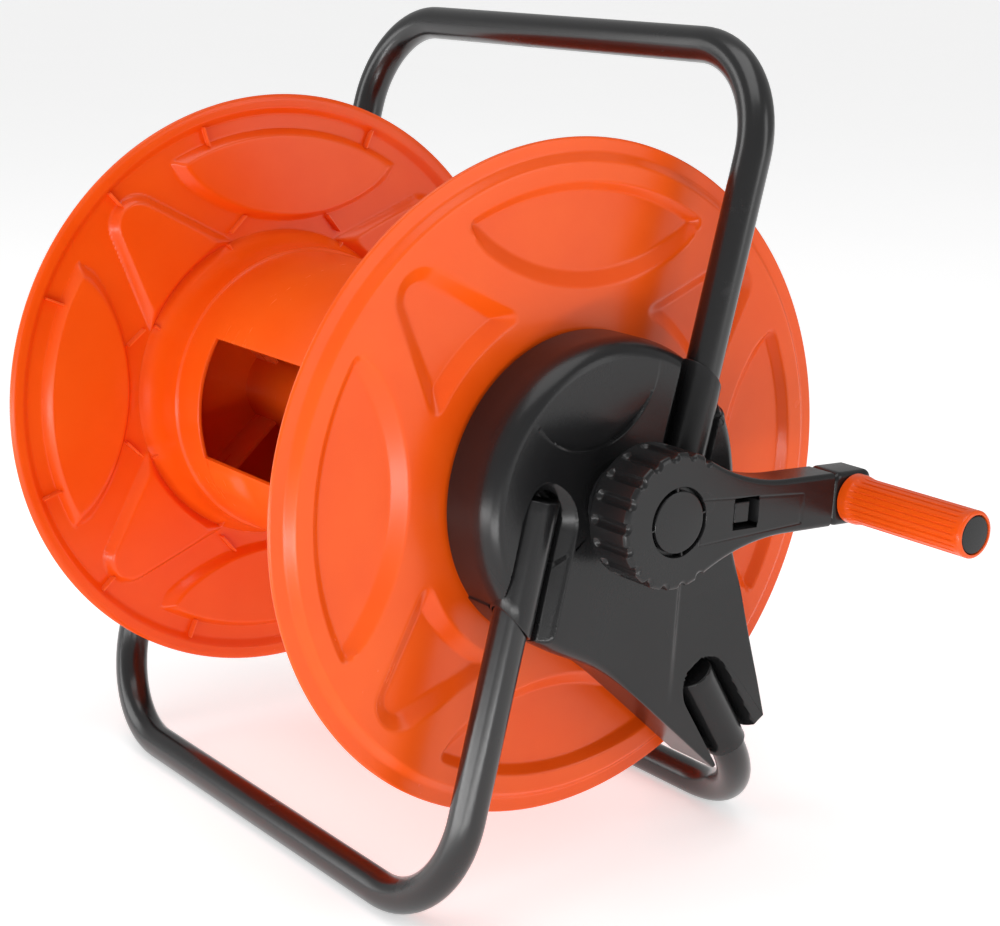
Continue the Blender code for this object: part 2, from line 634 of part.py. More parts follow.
def bracket(finish):
    """Hollow shell, open towards the spool, with a hub boss and three sleeves in arched slots."""
    spare = 2 * BRACKET_EDGE
    item = prism("side_bracket_right", bracket_outline(), BRACKET_BACK - spare, BRACKET_FRONT, finish=finish)
    bevel(item, BRACKET_EDGE, radians(60), 2)
    trim = prism("bracket_trim", bracket_outline(-spare), BRACKET_BACK - 2 * spare, BRACKET_BACK, True)
    boolean(item, trim)
    boolean(item, bracket_cavity())
    for name, angle, side, start, _, _ in tube_lines():
        first, last = sleeve_span(name, start)
        slot = slot_outline(angle, side, first + SLOT_BACK, last + 2 * SLOT_HALF, SLOT_HALF)
        boolean(item, prism(name + "_slot", slot, SLOT_FLOOR, BRACKET_FRONT + OVERSHOOT, True))
        root, plug, mouth, past = [(TUBE_SPREAD, *line_point(angle, side, along)) for along in
                                   (first - SLEEVE_ROOT, first + SLEEVE_PLUG, last, last + SLOT_HALF)]
        boolean(item, rod(name + "_sleeve", SLEEVE_RADIUS, root, mouth, 16, True), "UNION")
        boolean(item, rod(name + "_bore", SLEEVE_BORE, plug, past, TUBE_SIDES, True))
    bush_bore = disc_profile(BUSH_RADIUS + GAP, BRACKET_BACK - OVERSHOOT, BRACKET_FRONT + OVERSHOOT)
    boolean(item, turned("bush_bore", bush_bore, ROUND_STEPS, True))
    boolean(item, joint_screw_holes())
    return freeze(item)


def bracket_cavity():
    """Inside of the shell, less the walls around the slots and the hub boss."""
    cavity = prism("bracket_cavity", bracket_outline(BRACKET_WALL), BRACKET_BACK - 2 * OVERSHOOT,
                   BRACKET_FRONT - BRACKET_WALL, True)
    for name, angle, side, start, _, _ in tube_lines():
        first, last = sleeve_span(name, start)
        keep = slot_outline(angle, side, first, last + 2 * SLOT_HALF, SLOT_HALF + BRACKET_WALL)
        boolean(cavity, prism(name + "_keep", keep, SLOT_FLOOR - BRACKET_WALL, BRACKET_FRONT + MM, True))
    boss = ring_profile(BUSH_RADIUS, BUSH_RADIUS + GAP + HUB_BOSS_WALL, BRACKET_BACK + MM, BRACKET_FRONT)
    boolean(cavity, turned("boss_keep", boss, ROUND_STEPS, True))
    return cavity


def joint_screw_places():
    """One screw through each sleeve's back wall into its tube, near the sleeve's open end."""
    places = []
    for name, angle, side, start, _, _ in tube_lines():
        _, last = sleeve_span(name, start)
        places.append((name.replace("_tube", ""), line_point(angle, side, last - SCREW_INSET)))
    return places


def joint_screw_holes():
    holes = [rod("hole", SCREW_SHANK + GAP, (BRACKET_BACK - OVERSHOOT, y, z), (TUBE_SPREAD, y, z), 8, True)
             for _, (y, z) in joint_screw_places()]
    return join_cutters("bracket_screw_holes", holes)


def joint_screws(finish):
    underside = SLOT_FLOOR - BRACKET_WALL - GAP
    for name, place in joint_screw_places():
        item = screw_along_x(f"{name}_screw_right", place, underside, TUBE_SPREAD - TUBE_RADIUS / 2, finish)
        mirrored(freeze(item), f"{name}_screw_left")


def drill_tubes():
    """Screw holes in the inner side of each tube's ends."""
    for name, place in joint_screw_places():
        item = bpy.data.objects[name + "_tube"]
        reach = TUBE_SPREAD - TUBE_RADIUS - OVERSHOOT
        holes = [rod("hole", SCREW_SHANK + GAP, (way * reach, *place), (way * TUBE_SPREAD, *place), 8, True)
                 for way in (1, -1)]
        boolean(item, join_cutters(name + "_drill", holes))


# ---------------------------------------------------------------- crank
def crank_outline(inset=0.0, end=SEAM):
    """Round hub joined to a straight arm by hollow arcs that touch both."""
    span = sqrt((CRANK_HUB + CRANK_BLEND) ** 2 - (CRANK_HALF + CRANK_BLEND) ** 2)
    touch = acos(span / (CRANK_HUB + CRANK_BLEND))
    low, high = -pi + touch, -pi / 2
    half = CRANK_HALF - inset
    upper = arc((span, CRANK_HALF + CRANK_BLEND), CRANK_BLEND + inset, high, low, 6)
    hub = arc((0, 0), CRANK_HUB - inset, touch, 2 * pi - touch, 27)
    lower = arc((span, -CRANK_HALF - CRANK_BLEND), CRANK_BLEND + inset, -low, -high, 6)
    outline = [(end, -half), (end, half)] + upper + hub[1:-1] + lower
    return turn(outline, CRANK_ANGLE)


def box_outline(u0, u1, half):
    return turn([(u0, -half), (u1, -half), (u1, half), (u0, half)], CRANK_ANGLE)


def crank_arm(finish):
    item = prism("crank_arm", crank_outline(), CRANK_BACK, CRANK_FRONT, finish=finish)
    bevel(item, EDGE, radians(60), 1)
    pocket = prism("crank_pocket", crank_outline(CRANK_WALL + GROOVE_RADIUS, SEAM + OVERSHOOT),
                   CRANK_BACK - OVERSHOOT, CRANK_FRONT - CAP_DEPTH - CRANK_WALL, True)
    core = disc_profile(JOURNAL_RADIUS + CORE_WALL, CRANK_BACK - 2 * OVERSHOOT, CRANK_FRONT)
    boolean(pocket, turned("crank_core_keep", core, ROUND_STEPS, True))
    boolean(item, crank_grooves())
    boolean(item, pocket)
    recess = disc_profile(CAP_RECESS, CRANK_FRONT - CAP_DEPTH, CRANK_FRONT + OVERSHOOT)
    boolean(item, turned("crank_recess", recess, ROUND_STEPS, True))
    latch = box_outline(LATCH_MIDDLE - LATCH_HALF, LATCH_MIDDLE + LATCH_HALF, LATCH_HALF)
    boolean(item, prism("crank_window", latch, CRANK_FRONT - WINDOW_DEPTH, CRANK_FRONT + OVERSHOOT, True))
    plug = disc_profile(JOURNAL_BORE - GAP, WEB_END + GAP, CRANK_BACK + MM)
    boolean(item, turned("crank_plug", plug, ROUND_STEPS, True), "UNION")
    seat, floor = CRANK_FRONT - CAP_DEPTH - SEAT_DEPTH, WEB_START - OVERSHOOT
    head, shank = SCREW_HEAD + GAP, SCREW_SHANK + GAP
    bore = [(0.0, CRANK_FRONT), (head, CRANK_FRONT), (head, seat), (shank, seat), (shank, floor),
            (0.0, floor)]
    boolean(item, turned("crank_screw_bore", bore, SMALL_STEPS, True))
    return item


def crank_grooves():
    """Finger grooves around the hub's far side, closed at their back end."""
    grooves = []
    for i in range(GROOVE_COUNT):
        y, z = polar(CRANK_ANGLE + pi + (i - (GROOVE_COUNT - 1) / 2) * GROOVE_PITCH, CRANK_HUB + GROOVE_RISE)
        ends = (CRANK_BACK + GROOVE_START, y, z), (CRANK_FRONT + OVERSHOOT, y, z)
        grooves.append(rod("groove", GROOVE_RADIUS, ends[0], ends[1], 8, True))
    return join_cutters("crank_grooves", grooves)


def crank_cap(finish):
    """Flat cover over the hub's screw, with a broken edge."""
    bottom = CRANK_FRONT - CAP_DEPTH + GAP
    profile = [(0.0, CRANK_FRONT), (CAP_RADIUS - CAP_EDGE, CRANK_FRONT),
               (CAP_RADIUS, CRANK_FRONT - CAP_EDGE), (CAP_RADIUS, bottom), (0.0, bottom)]
    return turned("crank_cap", profile, ROUND_STEPS, finish=finish)


def tip_block(finish):
    """Tip of the arm, with the pin of the grip and a tongue that snaps into the arm's window."""
    start, side = SEAM + GAP, CRANK_HALF - TIP_CORNER
    outline = ([(start, -CRANK_HALF)] + arc((TIP_END - TIP_CORNER, -side), TIP_CORNER, -pi / 2, 0, 4)
               + arc((TIP_END - TIP_CORNER, side), TIP_CORNER, 0, pi / 2, 4) + [(start, CRANK_HALF)])
    item = prism("crank_tip_block", turn(outline, CRANK_ANGLE), CRANK_BACK, CRANK_FRONT, finish=finish)
    bevel(item, EDGE, radians(60), 1)
    under = CRANK_FRONT - CAP_DEPTH - CRANK_WALL - GAP
    half = CRANK_HALF - CRANK_WALL - GROOVE_RADIUS - GAP
    strip = box_outline(LATCH_MIDDLE - LATCH_HALF, start + CRANK_WALL, half)
    boolean(item, prism("tip_tongue", strip, under - TONGUE_THICKNESS, under, True), "UNION")
    nose = LATCH_HALF - LATCH_PLAY
    button = box_outline(LATCH_MIDDLE - nose, LATCH_MIDDLE + nose, nose)
    boolean(item, prism("tip_latch", button, under - MM, CRANK_FRONT - LATCH_PLAY, True), "UNION")
    y, z = polar(CRANK_ANGLE, CRANK_LENGTH)
    pin_end = GRIP_END - END_CAP_DEPTH - GAP
    boolean(item, rod("tip_pin", PIN_RADIUS, (CRANK_FRONT - MM, y, z), (pin_end, y, z), 16, True), "UNION")
    return item


def grip(finish, cap_finish):
    """Sleeve that turns on the tip block's pin, and the cap in its end."""
    start, bore = CRANK_FRONT + GAP, PIN_RADIUS + SLIDE
    floor, recess = GRIP_END - END_CAP_DEPTH, END_CAP_RADIUS + SLIDE
    neck = start + COLLAR_LENGTH
    profile = [(GRIP_RADIUS - GRIP_EDGE, GRIP_END), (GRIP_RADIUS, GRIP_END - GRIP_EDGE),
               (GRIP_RADIUS, neck + GRIP_FLARE), (COLLAR_RADIUS, neck), (COLLAR_RADIUS, start + EDGE),
               (COLLAR_RADIUS - EDGE, start), (bore, start), (bore, floor), (recess, floor),
               (recess, GRIP_END)]
    sleeve = turned("grip_sleeve", profile, ROUND_STEPS, finish=finish)
    top = GRIP_END - END_CAP_SUNK
    cap_profile = [(0.0, top), (END_CAP_RADIUS - EDGE / 2, top), (END_CAP_RADIUS, top - EDGE / 2),
                   (END_CAP_RADIUS, floor + GAP), (0.0, floor + GAP)]
    cap = turned("grip_end_cap", cap_profile, ROUND_STEPS, finish=cap_finish)
    y, z = polar(CRANK_ANGLE, CRANK_LENGTH)
    for item in (sleeve, cap):
        item.location.y += y
        item.location.z += z


# ---------------------------------------------------------------- water way
def along_direction(item, angle, x):
    """Turn a piece drawn along the axis so that it points along an angle across it, at x."""
    item.rotation_euler = (angle - pi / 2, 0.0, 0.0)
    item.location.x += x


def water_way(grey, black, rubber, steel):
    """Fixed axle inside the left journal, and the elbow that feeds the hose in the drum's window."""
    middle = CRANK_ANGLE + WINDOW_CENTRE
    end = SWIVEL_END - SWIVEL_WALL - MM
    reach = OUTLET_X - ELBOW_RADIUS - GAP
    groove = AXLE_RADIUS + GAP - O_RING
    ring_x, clip_x = SWIVEL_START + RING_PLACE, SWIVEL_START - CLIP_PLACE
    wide = O_RING + GAP
    axle = [(AXLE_RADIUS, reach), (AXLE_RADIUS, -ring_x + wide), (groove, -ring_x + wide),
            (groove, -ring_x - wide), (AXLE_RADIUS, -ring_x - wide), (AXLE_RADIUS, -end), (AXLE_BORE, -end),
            (AXLE_BORE, reach)]
    turned("water_axle", axle, 16, finish=grey)
    seal = ring_profile(groove + GAP, AXLE_RADIUS + O_RING - GAP, -ring_x - O_RING, -ring_x + O_RING)
    turned("axle_o_ring", seal, 16, finish=rubber)
    clip = ring_profile(AXLE_RADIUS + GAP, JOURNAL_BORE - GAP, -clip_x, -clip_x + CLIP_THICKNESS)
    turned("axle_retaining_clip", clip, 16, finish=steel)
    back, front = OUTLET_X - ELBOW_RADIUS, OUTLET_X + ELBOW_RADIUS
    elbow = turned("outlet_elbow", disc_profile(ELBOW_RADIUS, back, front), 16, finish=black)
    far, deep = (polar(middle, CORE_RADIUS + OUTLET_BRANCH + past) for past in (0.0, OVERSHOOT))
    centre = (OUTLET_X, 0, 0)
    branch = rod("outlet_branch", ELBOW_RADIUS - MM, centre, (OUTLET_X, *far), SMALL_STEPS, True)
    boolean(elbow, branch, "UNION")
    boolean(elbow, rod("outlet_run", AXLE_BORE, (back - OVERSHOOT, 0, 0), centre, SMALL_STEPS, True))
    boolean(elbow, rod("outlet_way", AXLE_BORE - MM / 2, centre, (OUTLET_X, *deep), SMALL_STEPS, True))
    outlet_nipple(middle, grey)


def outlet_nipple(middle, finish):
    """Hose connector that ends just below the drum's skin, in the window."""
    start, stop = CORE_RADIUS + OUTLET_BRANCH + GAP, DRUM_RADIUS - SHELL
    waist, bore, shoulder = NIPPLE_RADIUS - BARB_STEP, AXLE_BORE - MM, start + 2 * NIPPLE_SHOULDER
    profile = [(waist, stop), (NIPPLE_RADIUS, stop - BARB_LENGTH), (waist, stop - BARB_LENGTH - MM),
               (waist, shoulder + MM), (ELBOW_RADIUS, shoulder), (ELBOW_RADIUS, start), (bore, start),
               (bore, stop)]
    along_direction(turned("outlet_nipple", profile, 16, finish=finish), middle, OUTLET_X)


def swivel(black, grey, rubber):
    """Inlet elbow that turns about the axle's end, with its hose connector pointing down."""
    inner = AXLE_RADIUS + O_RING
    edge = SWIVEL_RADIUS - SWIVEL_EDGE
    outline = [(0.0, -SWIVEL_START), (SWIVEL_RADIUS, -SWIVEL_START),
               (SWIVEL_RADIUS, -SWIVEL_END + SWIVEL_EDGE), (edge, -SWIVEL_END), (0.0, -SWIVEL_END)]
    body = turned("inlet_swivel_body", outline, ROUND_STEPS, finish=black)
    middle = -(SWIVEL_START + SWIVEL_END) / 2 - SWIVEL_EDGE
    branch = rod("swivel_branch", ELBOW_RADIUS, (middle, 0, 0), (middle, 0, -ELBOW_DROP), 16, True)
    boolean(body, branch, "UNION")
    bore = disc_profile(inner, -SWIVEL_END + SWIVEL_WALL, -SWIVEL_START + OVERSHOOT)
    boolean(body, turned("swivel_bore", bore, 16, True))
    way = (middle, 0, -inner / 2), (middle, 0, -ELBOW_DROP - OVERSHOOT)
    boolean(body, rod("swivel_way", AXLE_BORE, way[0], way[1], SMALL_STEPS, True))
    nipple = turned("inlet_nipple", inlet_nipple_profile(), ROUND_STEPS, finish=grey)
    along_direction(nipple, -pi / 2, middle)
    low = NIPPLE_DROP - NIPPLE_NOSE - SEAL_GROOVE - MM + 2 * GAP
    seal = ring_profile(NIPPLE_RADIUS - SEAL_DEPTH + GAP, NIPPLE_RADIUS + GAP, low, low + 2 * O_RING)
    along_direction(turned("inlet_nipple_o_ring", seal, 16, finish=rubber), -pi / 2, middle)


def inlet_nipple_profile():
    """Push-fit connector: nose, seal groove, stem and shoulder, drawn downwards from the elbow."""
    start, stop = ELBOW_DROP + GAP, NIPPLE_DROP
    stem, neck, collar = NIPPLE_RADIUS, NIPPLE_RADIUS - SEAL_DEPTH, NIPPLE_RADIUS + MM
    groove = stop - NIPPLE_NOSE
    return [(stem - MM, stop), (stem, stop - MM), (stem, groove), (neck, groove - MM),
            (neck, groove - SEAL_GROOVE - MM), (collar, groove - SEAL_GROOVE - 2 * MM),
            (collar, start + NIPPLE_SHOULDER + MM), (ELBOW_RADIUS, start + NIPPLE_SHOULDER),
            (ELBOW_RADIUS, start), (AXLE_BORE - MM, start), (AXLE_BORE - MM, stop)]


# ---------------------------------------------------------------- whole object
def shade():
    for item in group_named(PARTS).objects:
        item.data.shade_smooth()
        item.data.set_sharp_from_angle(angle=radians(35))


def build():
    clear_scene()
    orange = make_material("orange_plastic", (0.84, 0.10, 0.016), 0.32)
    black = make_material("black_plastic", (0.035, 0.035, 0.036), 0.38)
    paint = make_material("black_paint", (0.012, 0.012, 0.013), 0.16)
    white = make_material("acetal", (0.75, 0.74, 0.70), 0.45)
    steel = make_material("zinc_steel", (0.60, 0.61, 0.63), 0.30, 1.0)
    grey = make_material("grey_connector_plastic", (0.20, 0.21, 0.22), 0.35)
    rubber = make_material("rubber", (0.015, 0.015, 0.015), 0.75)
    flange("flange_right", orange, True)
    reflect(flange("flange_left", orange, False).data)
    drum(orange)
    flange_screws(steel)
    bearings(white, white)
    right = bracket(black)
    mirrored(right, "side_bracket_left")
    for name, angle, side, start, reach, bend in tube_lines():
        stand_tube(name, angle, side, start, reach, bend, paint)
    drill_tubes()
    joint_screws(steel)
    crank_arm(black)
    crank_cap(black)
    underside = CRANK_FRONT - CAP_DEPTH - SEAT_DEPTH + GAP
    screw_along_x("crank_screw", (0.0, 0.0), underside, WEB_START - MM, steel)
    tip_block(black)
    grip(orange, black)
    water_way(grey, black, rubber, steel)
    swivel(black, grey, rubber)
    shade()


build()
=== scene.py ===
# Portable hose reel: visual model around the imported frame.
import bpy
import bmesh
import json
import numpy as np
from mathutils import Matrix, Vector


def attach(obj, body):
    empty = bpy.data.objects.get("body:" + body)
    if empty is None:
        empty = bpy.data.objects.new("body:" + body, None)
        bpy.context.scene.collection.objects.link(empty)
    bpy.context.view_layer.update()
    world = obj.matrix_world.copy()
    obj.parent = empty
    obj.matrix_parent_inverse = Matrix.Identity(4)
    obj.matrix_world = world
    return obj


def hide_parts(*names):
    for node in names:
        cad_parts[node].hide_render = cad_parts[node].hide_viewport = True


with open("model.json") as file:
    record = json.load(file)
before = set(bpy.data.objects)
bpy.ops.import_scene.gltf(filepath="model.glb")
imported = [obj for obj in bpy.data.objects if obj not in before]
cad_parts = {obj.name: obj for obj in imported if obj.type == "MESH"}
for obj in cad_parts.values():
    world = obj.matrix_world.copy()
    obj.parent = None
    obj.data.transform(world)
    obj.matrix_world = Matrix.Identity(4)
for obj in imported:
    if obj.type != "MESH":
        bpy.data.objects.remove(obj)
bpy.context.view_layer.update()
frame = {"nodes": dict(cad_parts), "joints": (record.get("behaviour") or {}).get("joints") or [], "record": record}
joints = {joint["name"]: joint for joint in frame["joints"]}
# the spool's middle, mm; every shape below is drawn about it
hub = np.array(joints["reel_spin"]["pos_m"]) * 1000
gripAxis = np.array(joints["grip_spin"]["pos_m"]) * 1000 - hub
crankAngle = np.arctan2(gripAxis[2], gripAxis[1])
print("frame loaded, hub at", hub.round(2))


# shader helper
class Wire:
    # a socket that adds, subtracts and multiplies like a number
    def __init__(self, tree, socket):
        self.tree, self.socket = tree, socket

    def math(self, kind, first, second):
        node = self.tree.nodes.new("ShaderNodeMath")
        node.operation = kind
        for slot, value in zip(node.inputs, (first, second)):
            if isinstance(value, Wire):
                self.tree.links.new(value.socket, slot)
            else:
                slot.default_value = value
        return Wire(self.tree, node.outputs[0])

    def __add__(self, other):
        return self.math("ADD", self, other)

    def __radd__(self, other):
        return self.math("ADD", other, self)

    def __sub__(self, other):
        return self.math("SUBTRACT", self, other)

    def __rsub__(self, other):
        return self.math("SUBTRACT", other, self)

    def __mul__(self, other):
        return self.math("MULTIPLY", self, other)

    def __rmul__(self, other):
        return self.math("MULTIPLY", other, self)

    def clamp(self):
        return self.math("MINIMUM", self.math("MAXIMUM", self, 0.0), 1.0)


class Finish:
    # one material and the nodes made for it
    def __init__(self, name):
        self.material = bpy.data.materials.new(name)
        self.material.use_nodes = True
        self.tree = self.material.node_tree
        self.shader = self.tree.nodes["Principled BSDF"]
        self.place = self.node("ShaderNodeTexCoord", {}, {}, "Object")

    def node(self, kind, settings, sockets, output=0):
        node = self.tree.nodes.new(kind)
        for key, value in settings.items():
            setattr(node, key, value)
        for key, value in sockets.items():
            if isinstance(value, Wire):
                self.tree.links.new(value.socket, node.inputs[key])
            else:
                node.inputs[key].default_value = value
        return Wire(self.tree, node.outputs[output])

    def noise(self, scale, detail=3.0, roughness=0.5, place=None):
        return self.node("ShaderNodeTexNoise", {}, {"Vector": place or self.place, "Scale": scale,
                         "Detail": detail, "Roughness": roughness}, "Fac")

    def blend(self, share, first, second):
        node = self.tree.nodes.new("ShaderNodeMix")
        node.data_type = "RGBA"
        for key, value in ((0, share), (6, first), (7, second)):
            if isinstance(value, Wire):
                self.tree.links.new(value.socket, node.inputs[key])
            else:
                node.inputs[key].default_value = value
        return Wire(self.tree, node.outputs[2])

    def stretched(self, scale):
        # object coordinates times a scale for each axis, so that grain runs one way
        return self.node("ShaderNodeVectorMath", {"operation": "MULTIPLY"}, {0: self.place, 1: scale})

    def set(self, **fixed):
        for key, value in fixed.items():
            self.shader.inputs[key.replace("_", " ")].default_value = value

    def drive(self, name, wire):
        self.tree.links.new(wire.socket, self.shader.inputs[name])

    def bump(self, height, strength, distance):
        self.drive("Normal", self.node("ShaderNodeBump", {}, {"Height": height, "Strength": strength,
                                                             "Distance": distance}))


plastic = {
    "orange": {"light": (0.88, 0.105, 0.006, 1), "deep": (0.84, 0.084, 0.003, 1),
               "worn": (0.90, 0.19, 0.06, 1), "roughness": 0.25},
    "black": {"light": (0.014, 0.014, 0.0145, 1), "deep": (0.010, 0.010, 0.0105, 1),
              "worn": (0.045, 0.045, 0.046, 1), "roughness": 0.25},
    "acetal": {"light": (0.016, 0.016, 0.017, 1), "deep": (0.012, 0.012, 0.013, 1),
               "worn": (0.03, 0.03, 0.032, 1), "roughness": 0.26},
    "grey": {"light": (0.22, 0.23, 0.24, 1), "deep": (0.17, 0.18, 0.19, 1), "worn": (0.30, 0.31, 0.32, 1),
             "roughness": 0.36},
}


def mouldedPlastic(name, look, grain=0.0):
    # satin plastic: slow cloudy tone, paler rubbed edges, fine moulded grain and hairline scratches
    finish = Finish(name)
    cloud = finish.noise(14.0, 4.0, 0.55)
    speck = finish.noise(900.0, 2.0, 0.6)
    scratch = finish.noise(1.0, 2.0, 0.5, finish.stretched((700.0, 90.0, 60.0)))
    edge = finish.node("ShaderNodeNewGeometry", {}, {}, "Pointiness")
    rubbed = ((edge - 0.53) * 9.0).clamp() * finish.noise(60.0, 3.0, 0.6)
    tone = finish.blend(((cloud - 0.35) * 2.6).clamp(), look["deep"], look["light"])
    finish.drive("Base Color", finish.blend(rubbed * 0.6, tone, look["worn"]))
    patchy = look["roughness"] + (cloud - 0.5) * 0.10
    finish.drive("Roughness", patchy + (scratch - 0.5) * 0.05 + rubbed * 0.08)
    finish.bump(speck * (0.55 + grain) + scratch * 0.35, 0.10 + grain * 0.3, 0.0004)
    finish.set(IOR=1.5, Specular_IOR_Level=0.36)
    return finish.material


def glossPaint(name):
    # stoved gloss black over tube: faint orange peel and a few dull scuffs
    finish = Finish(name)
    peel = finish.noise(260.0, 2.0, 0.5)
    scuff = finish.noise(38.0, 5.0, 0.65)
    dull = ((scuff - 0.62) * 8.0).clamp()
    finish.drive("Base Color", finish.blend(dull * 0.7, (0.006, 0.006, 0.0065, 1), (0.016, 0.016, 0.017, 1)))
    finish.drive("Roughness", 0.25 + dull * 0.12 + (peel - 0.5) * 0.04)
    finish.bump(peel, 0.05, 0.0005)
    finish.set(Coat_Weight=0.25, Coat_Roughness=0.2)
    return finish.material


def zincSteel(name):
    # bright zinc with fine turned lines and cloudy passivation
    finish = Finish(name)
    lines = finish.noise(1.0, 2.0, 0.5, finish.stretched((4000.0, 500.0, 500.0)))
    cloud = finish.noise(90.0, 3.0, 0.6)
    finish.drive("Base Color", finish.blend(cloud, (0.52, 0.53, 0.55, 1), (0.68, 0.68, 0.67, 1)))
    finish.drive("Roughness", 0.24 + lines * 0.12 + cloud * 0.06)
    finish.bump(lines, 0.08, 0.0003)
    finish.set(Metallic=1.0)
    return finish.material


def softRubber(name):
    # matt black seal rubber with a fine grain
    finish = Finish(name)
    grain = finish.noise(500.0, 3.0, 0.6)
    finish.drive("Base Color", finish.blend(grain, (0.012, 0.012, 0.012, 1), (0.024, 0.024, 0.024, 1)))
    finish.drive("Roughness", 0.62 + grain * 0.16)
    finish.bump(grain, 0.15, 0.0004)
    return finish.material


finishes = {
    "orange_plastic": mouldedPlastic("orangeMoulding", plastic["orange"]),
    "black_plastic": mouldedPlastic("blackMoulding", plastic["black"], 0.2),
    "black_paint": glossPaint("stovedBlackPaint"),
    "acetal": mouldedPlastic("acetalBearing", plastic["acetal"]),
    "zinc_steel": zincSteel("zincPlatedSteel"),
    "grey_connector_plastic": mouldedPlastic("greyConnector", plastic["grey"], 0.3),
    "rubber": softRubber("sealRubber"),
}
slotOf = {part["node"]: part["material_slot"] for part in frame["record"]["subparts"]}
for nodeName, item in frame["nodes"].items():
    item.data.materials.clear()
    item.data.materials.append(finishes[slotOf[nodeName]])
print("finishes made")


# surface helpers, all in mm about the spool's middle
def evenly(p, count):
    # points at equal steps along a closed line of complex points
    length = np.concatenate([[0], np.cumsum(np.abs(np.diff(p)))])
    even = np.linspace(0, length[-1], count, endpoint=False)
    return np.interp(even, length, p.real) + 1j * np.interp(even, length, p.imag)


def outward(p):
    # unit normals of a closed anticlockwise line
    tangent = np.roll(p, -1) - np.roll(p, 1)
    return -1j * tangent / np.abs(tangent)


def gridFaces(rows, cols, wrap, start):
    # corners of every cell of a grid of points, the last column joined to the first when wrap is set
    i = np.arange(rows - 1)[:, None] * cols
    j = np.arange(cols if wrap else cols - 1)[None, :]
    k = (j + 1) % cols
    return np.stack([i + j, i + k, i + k + cols, i + j + cols], -1).reshape(-1, 4) + start


def makePiece(name, grids, body, slotName, replaces=(), sharp=38, mirror=False):
    # grids is a list of (rows by cols by 3 points, wrap); coincident points are welded
    points, faces, start = [], [], 0
    for grid, wrap in grids:
        rows, cols = grid.shape[:2]
        points.append(grid.reshape(-1, 3))
        faces.append(gridFaces(rows, cols, wrap, start))
        start += rows * cols
    points = np.concatenate(points)
    if mirror:
        points = points * (-1, 1, 1)
    points = (points + hub) / 1000
    faces = np.concatenate(faces)
    mesh = bpy.data.meshes.new(name)
    mesh.vertices.add(len(points))
    mesh.vertices.foreach_set("co", points.ravel())
    mesh.loops.add(faces.size)
    mesh.loops.foreach_set("vertex_index", faces.ravel())
    mesh.polygons.add(len(faces))
    mesh.polygons.foreach_set("loop_start", np.arange(0, faces.size, 4))
    mesh.update(calc_edges=True)
    bm = bmesh.new()
    bm.from_mesh(mesh)
    bmesh.ops.remove_doubles(bm, verts=bm.verts, dist=0.000002)
    bmesh.ops.dissolve_degenerate(bm, edges=bm.edges, dist=0.000001)
    bmesh.ops.recalc_face_normals(bm, faces=bm.faces)
    bm.to_mesh(mesh)
    bm.free()
    mesh.shade_smooth()
    mesh.set_sharp_from_angle(angle=np.radians(sharp))
    piece = bpy.data.objects.new(name, mesh)
    bpy.context.scene.collection.objects.link(piece)
    mesh.materials.append(finishes[slotName])
    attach(piece, body)
    if replaces:
        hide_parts(*replaces)
    return piece


def ramp(t, k=0.15):
    # 0 below 0, 1 above 1, straight between, both corners rounded over k
    def hinge(s):
        return np.where(s < -k, 0.0, np.where(s > k, s, (s + k) ** 2 / (4 * k)))
    return hinge(t) - hinge(t - 1)


def rounded(profile, radius, steps=4, closed=True):
    # each corner of a (radius, x) line becomes a quadratic curve between points cut back along its two sides
    p = np.array(profile, float)
    before, after = np.roll(p, 1, 0), np.roll(p, -1, 0)
    radius = np.broadcast_to(np.array(radius, float), len(p))[:, None]
    d1 = np.linalg.norm(before - p, axis=1, keepdims=True) + 1e-9
    d2 = np.linalg.norm(after - p, axis=1, keepdims=True) + 1e-9
    a = p + (before - p) / d1 * np.minimum(radius, d1 * 0.45)
    b = p + (after - p) / d2 * np.minimum(radius, d2 * 0.45)
    t = np.linspace(0, 1, steps)[:, None, None]
    curve = ((1 - t) ** 2 * a + 2 * t * (1 - t) * p + t ** 2 * b).transpose(1, 0, 2)
    if not closed:
        curve[0] = p[0]
        curve[-1] = p[-1]
    return curve.reshape(-1, 2)


def lathe(profile, steps=48, centre=(0, 0, 0), axis=(1, 0, 0), closed=True):
    # (radius, distance along the axis) profile turned about an axis through centre
    axis = np.array(axis, float)
    side = np.cross(axis, (0, 0, 1) if abs(axis[2]) < 0.9 else (0, 1, 0))
    side /= np.linalg.norm(side)
    other = np.cross(axis, side)
    profile = np.array(profile, float)
    if closed:
        profile = np.concatenate([profile, profile[:1]])
    phi = np.linspace(0, 2 * np.pi, steps, endpoint=False)
    ring = np.cos(phi)[:, None] * side + np.sin(phi)[:, None] * other
    return np.array(centre) + profile[:, 1, None, None] * axis + profile[:, 0, None, None] * ring[None]


def tubeAlong(path, radii, normal, sides=32):
    # circle of each radius carried along a path that lies in the plane across normal
    tangent = np.gradient(path, axis=0)
    tangent /= np.linalg.norm(tangent, axis=1, keepdims=True)
    across = np.cross(tangent, normal)
    phi = np.linspace(0, 2 * np.pi, sides, endpoint=False)[None, :, None]
    radii = np.broadcast_to(radii, len(path))[:, None, None]
    return path[:, None] + radii * (np.cos(phi) * across[:, None] + np.sin(phi) * np.array(normal))


def linePoint(line, along, across, x):
    # point beside a stand tube's straight line: along from the foot of the axis, across to its left
    angle, side = line
    foot = side - across
    y = np.sin(angle) * foot + np.cos(angle) * along
    z = -np.cos(angle) * foot + np.sin(angle) * along
    return np.stack(np.broadcast_arrays(x, y, z), -1)


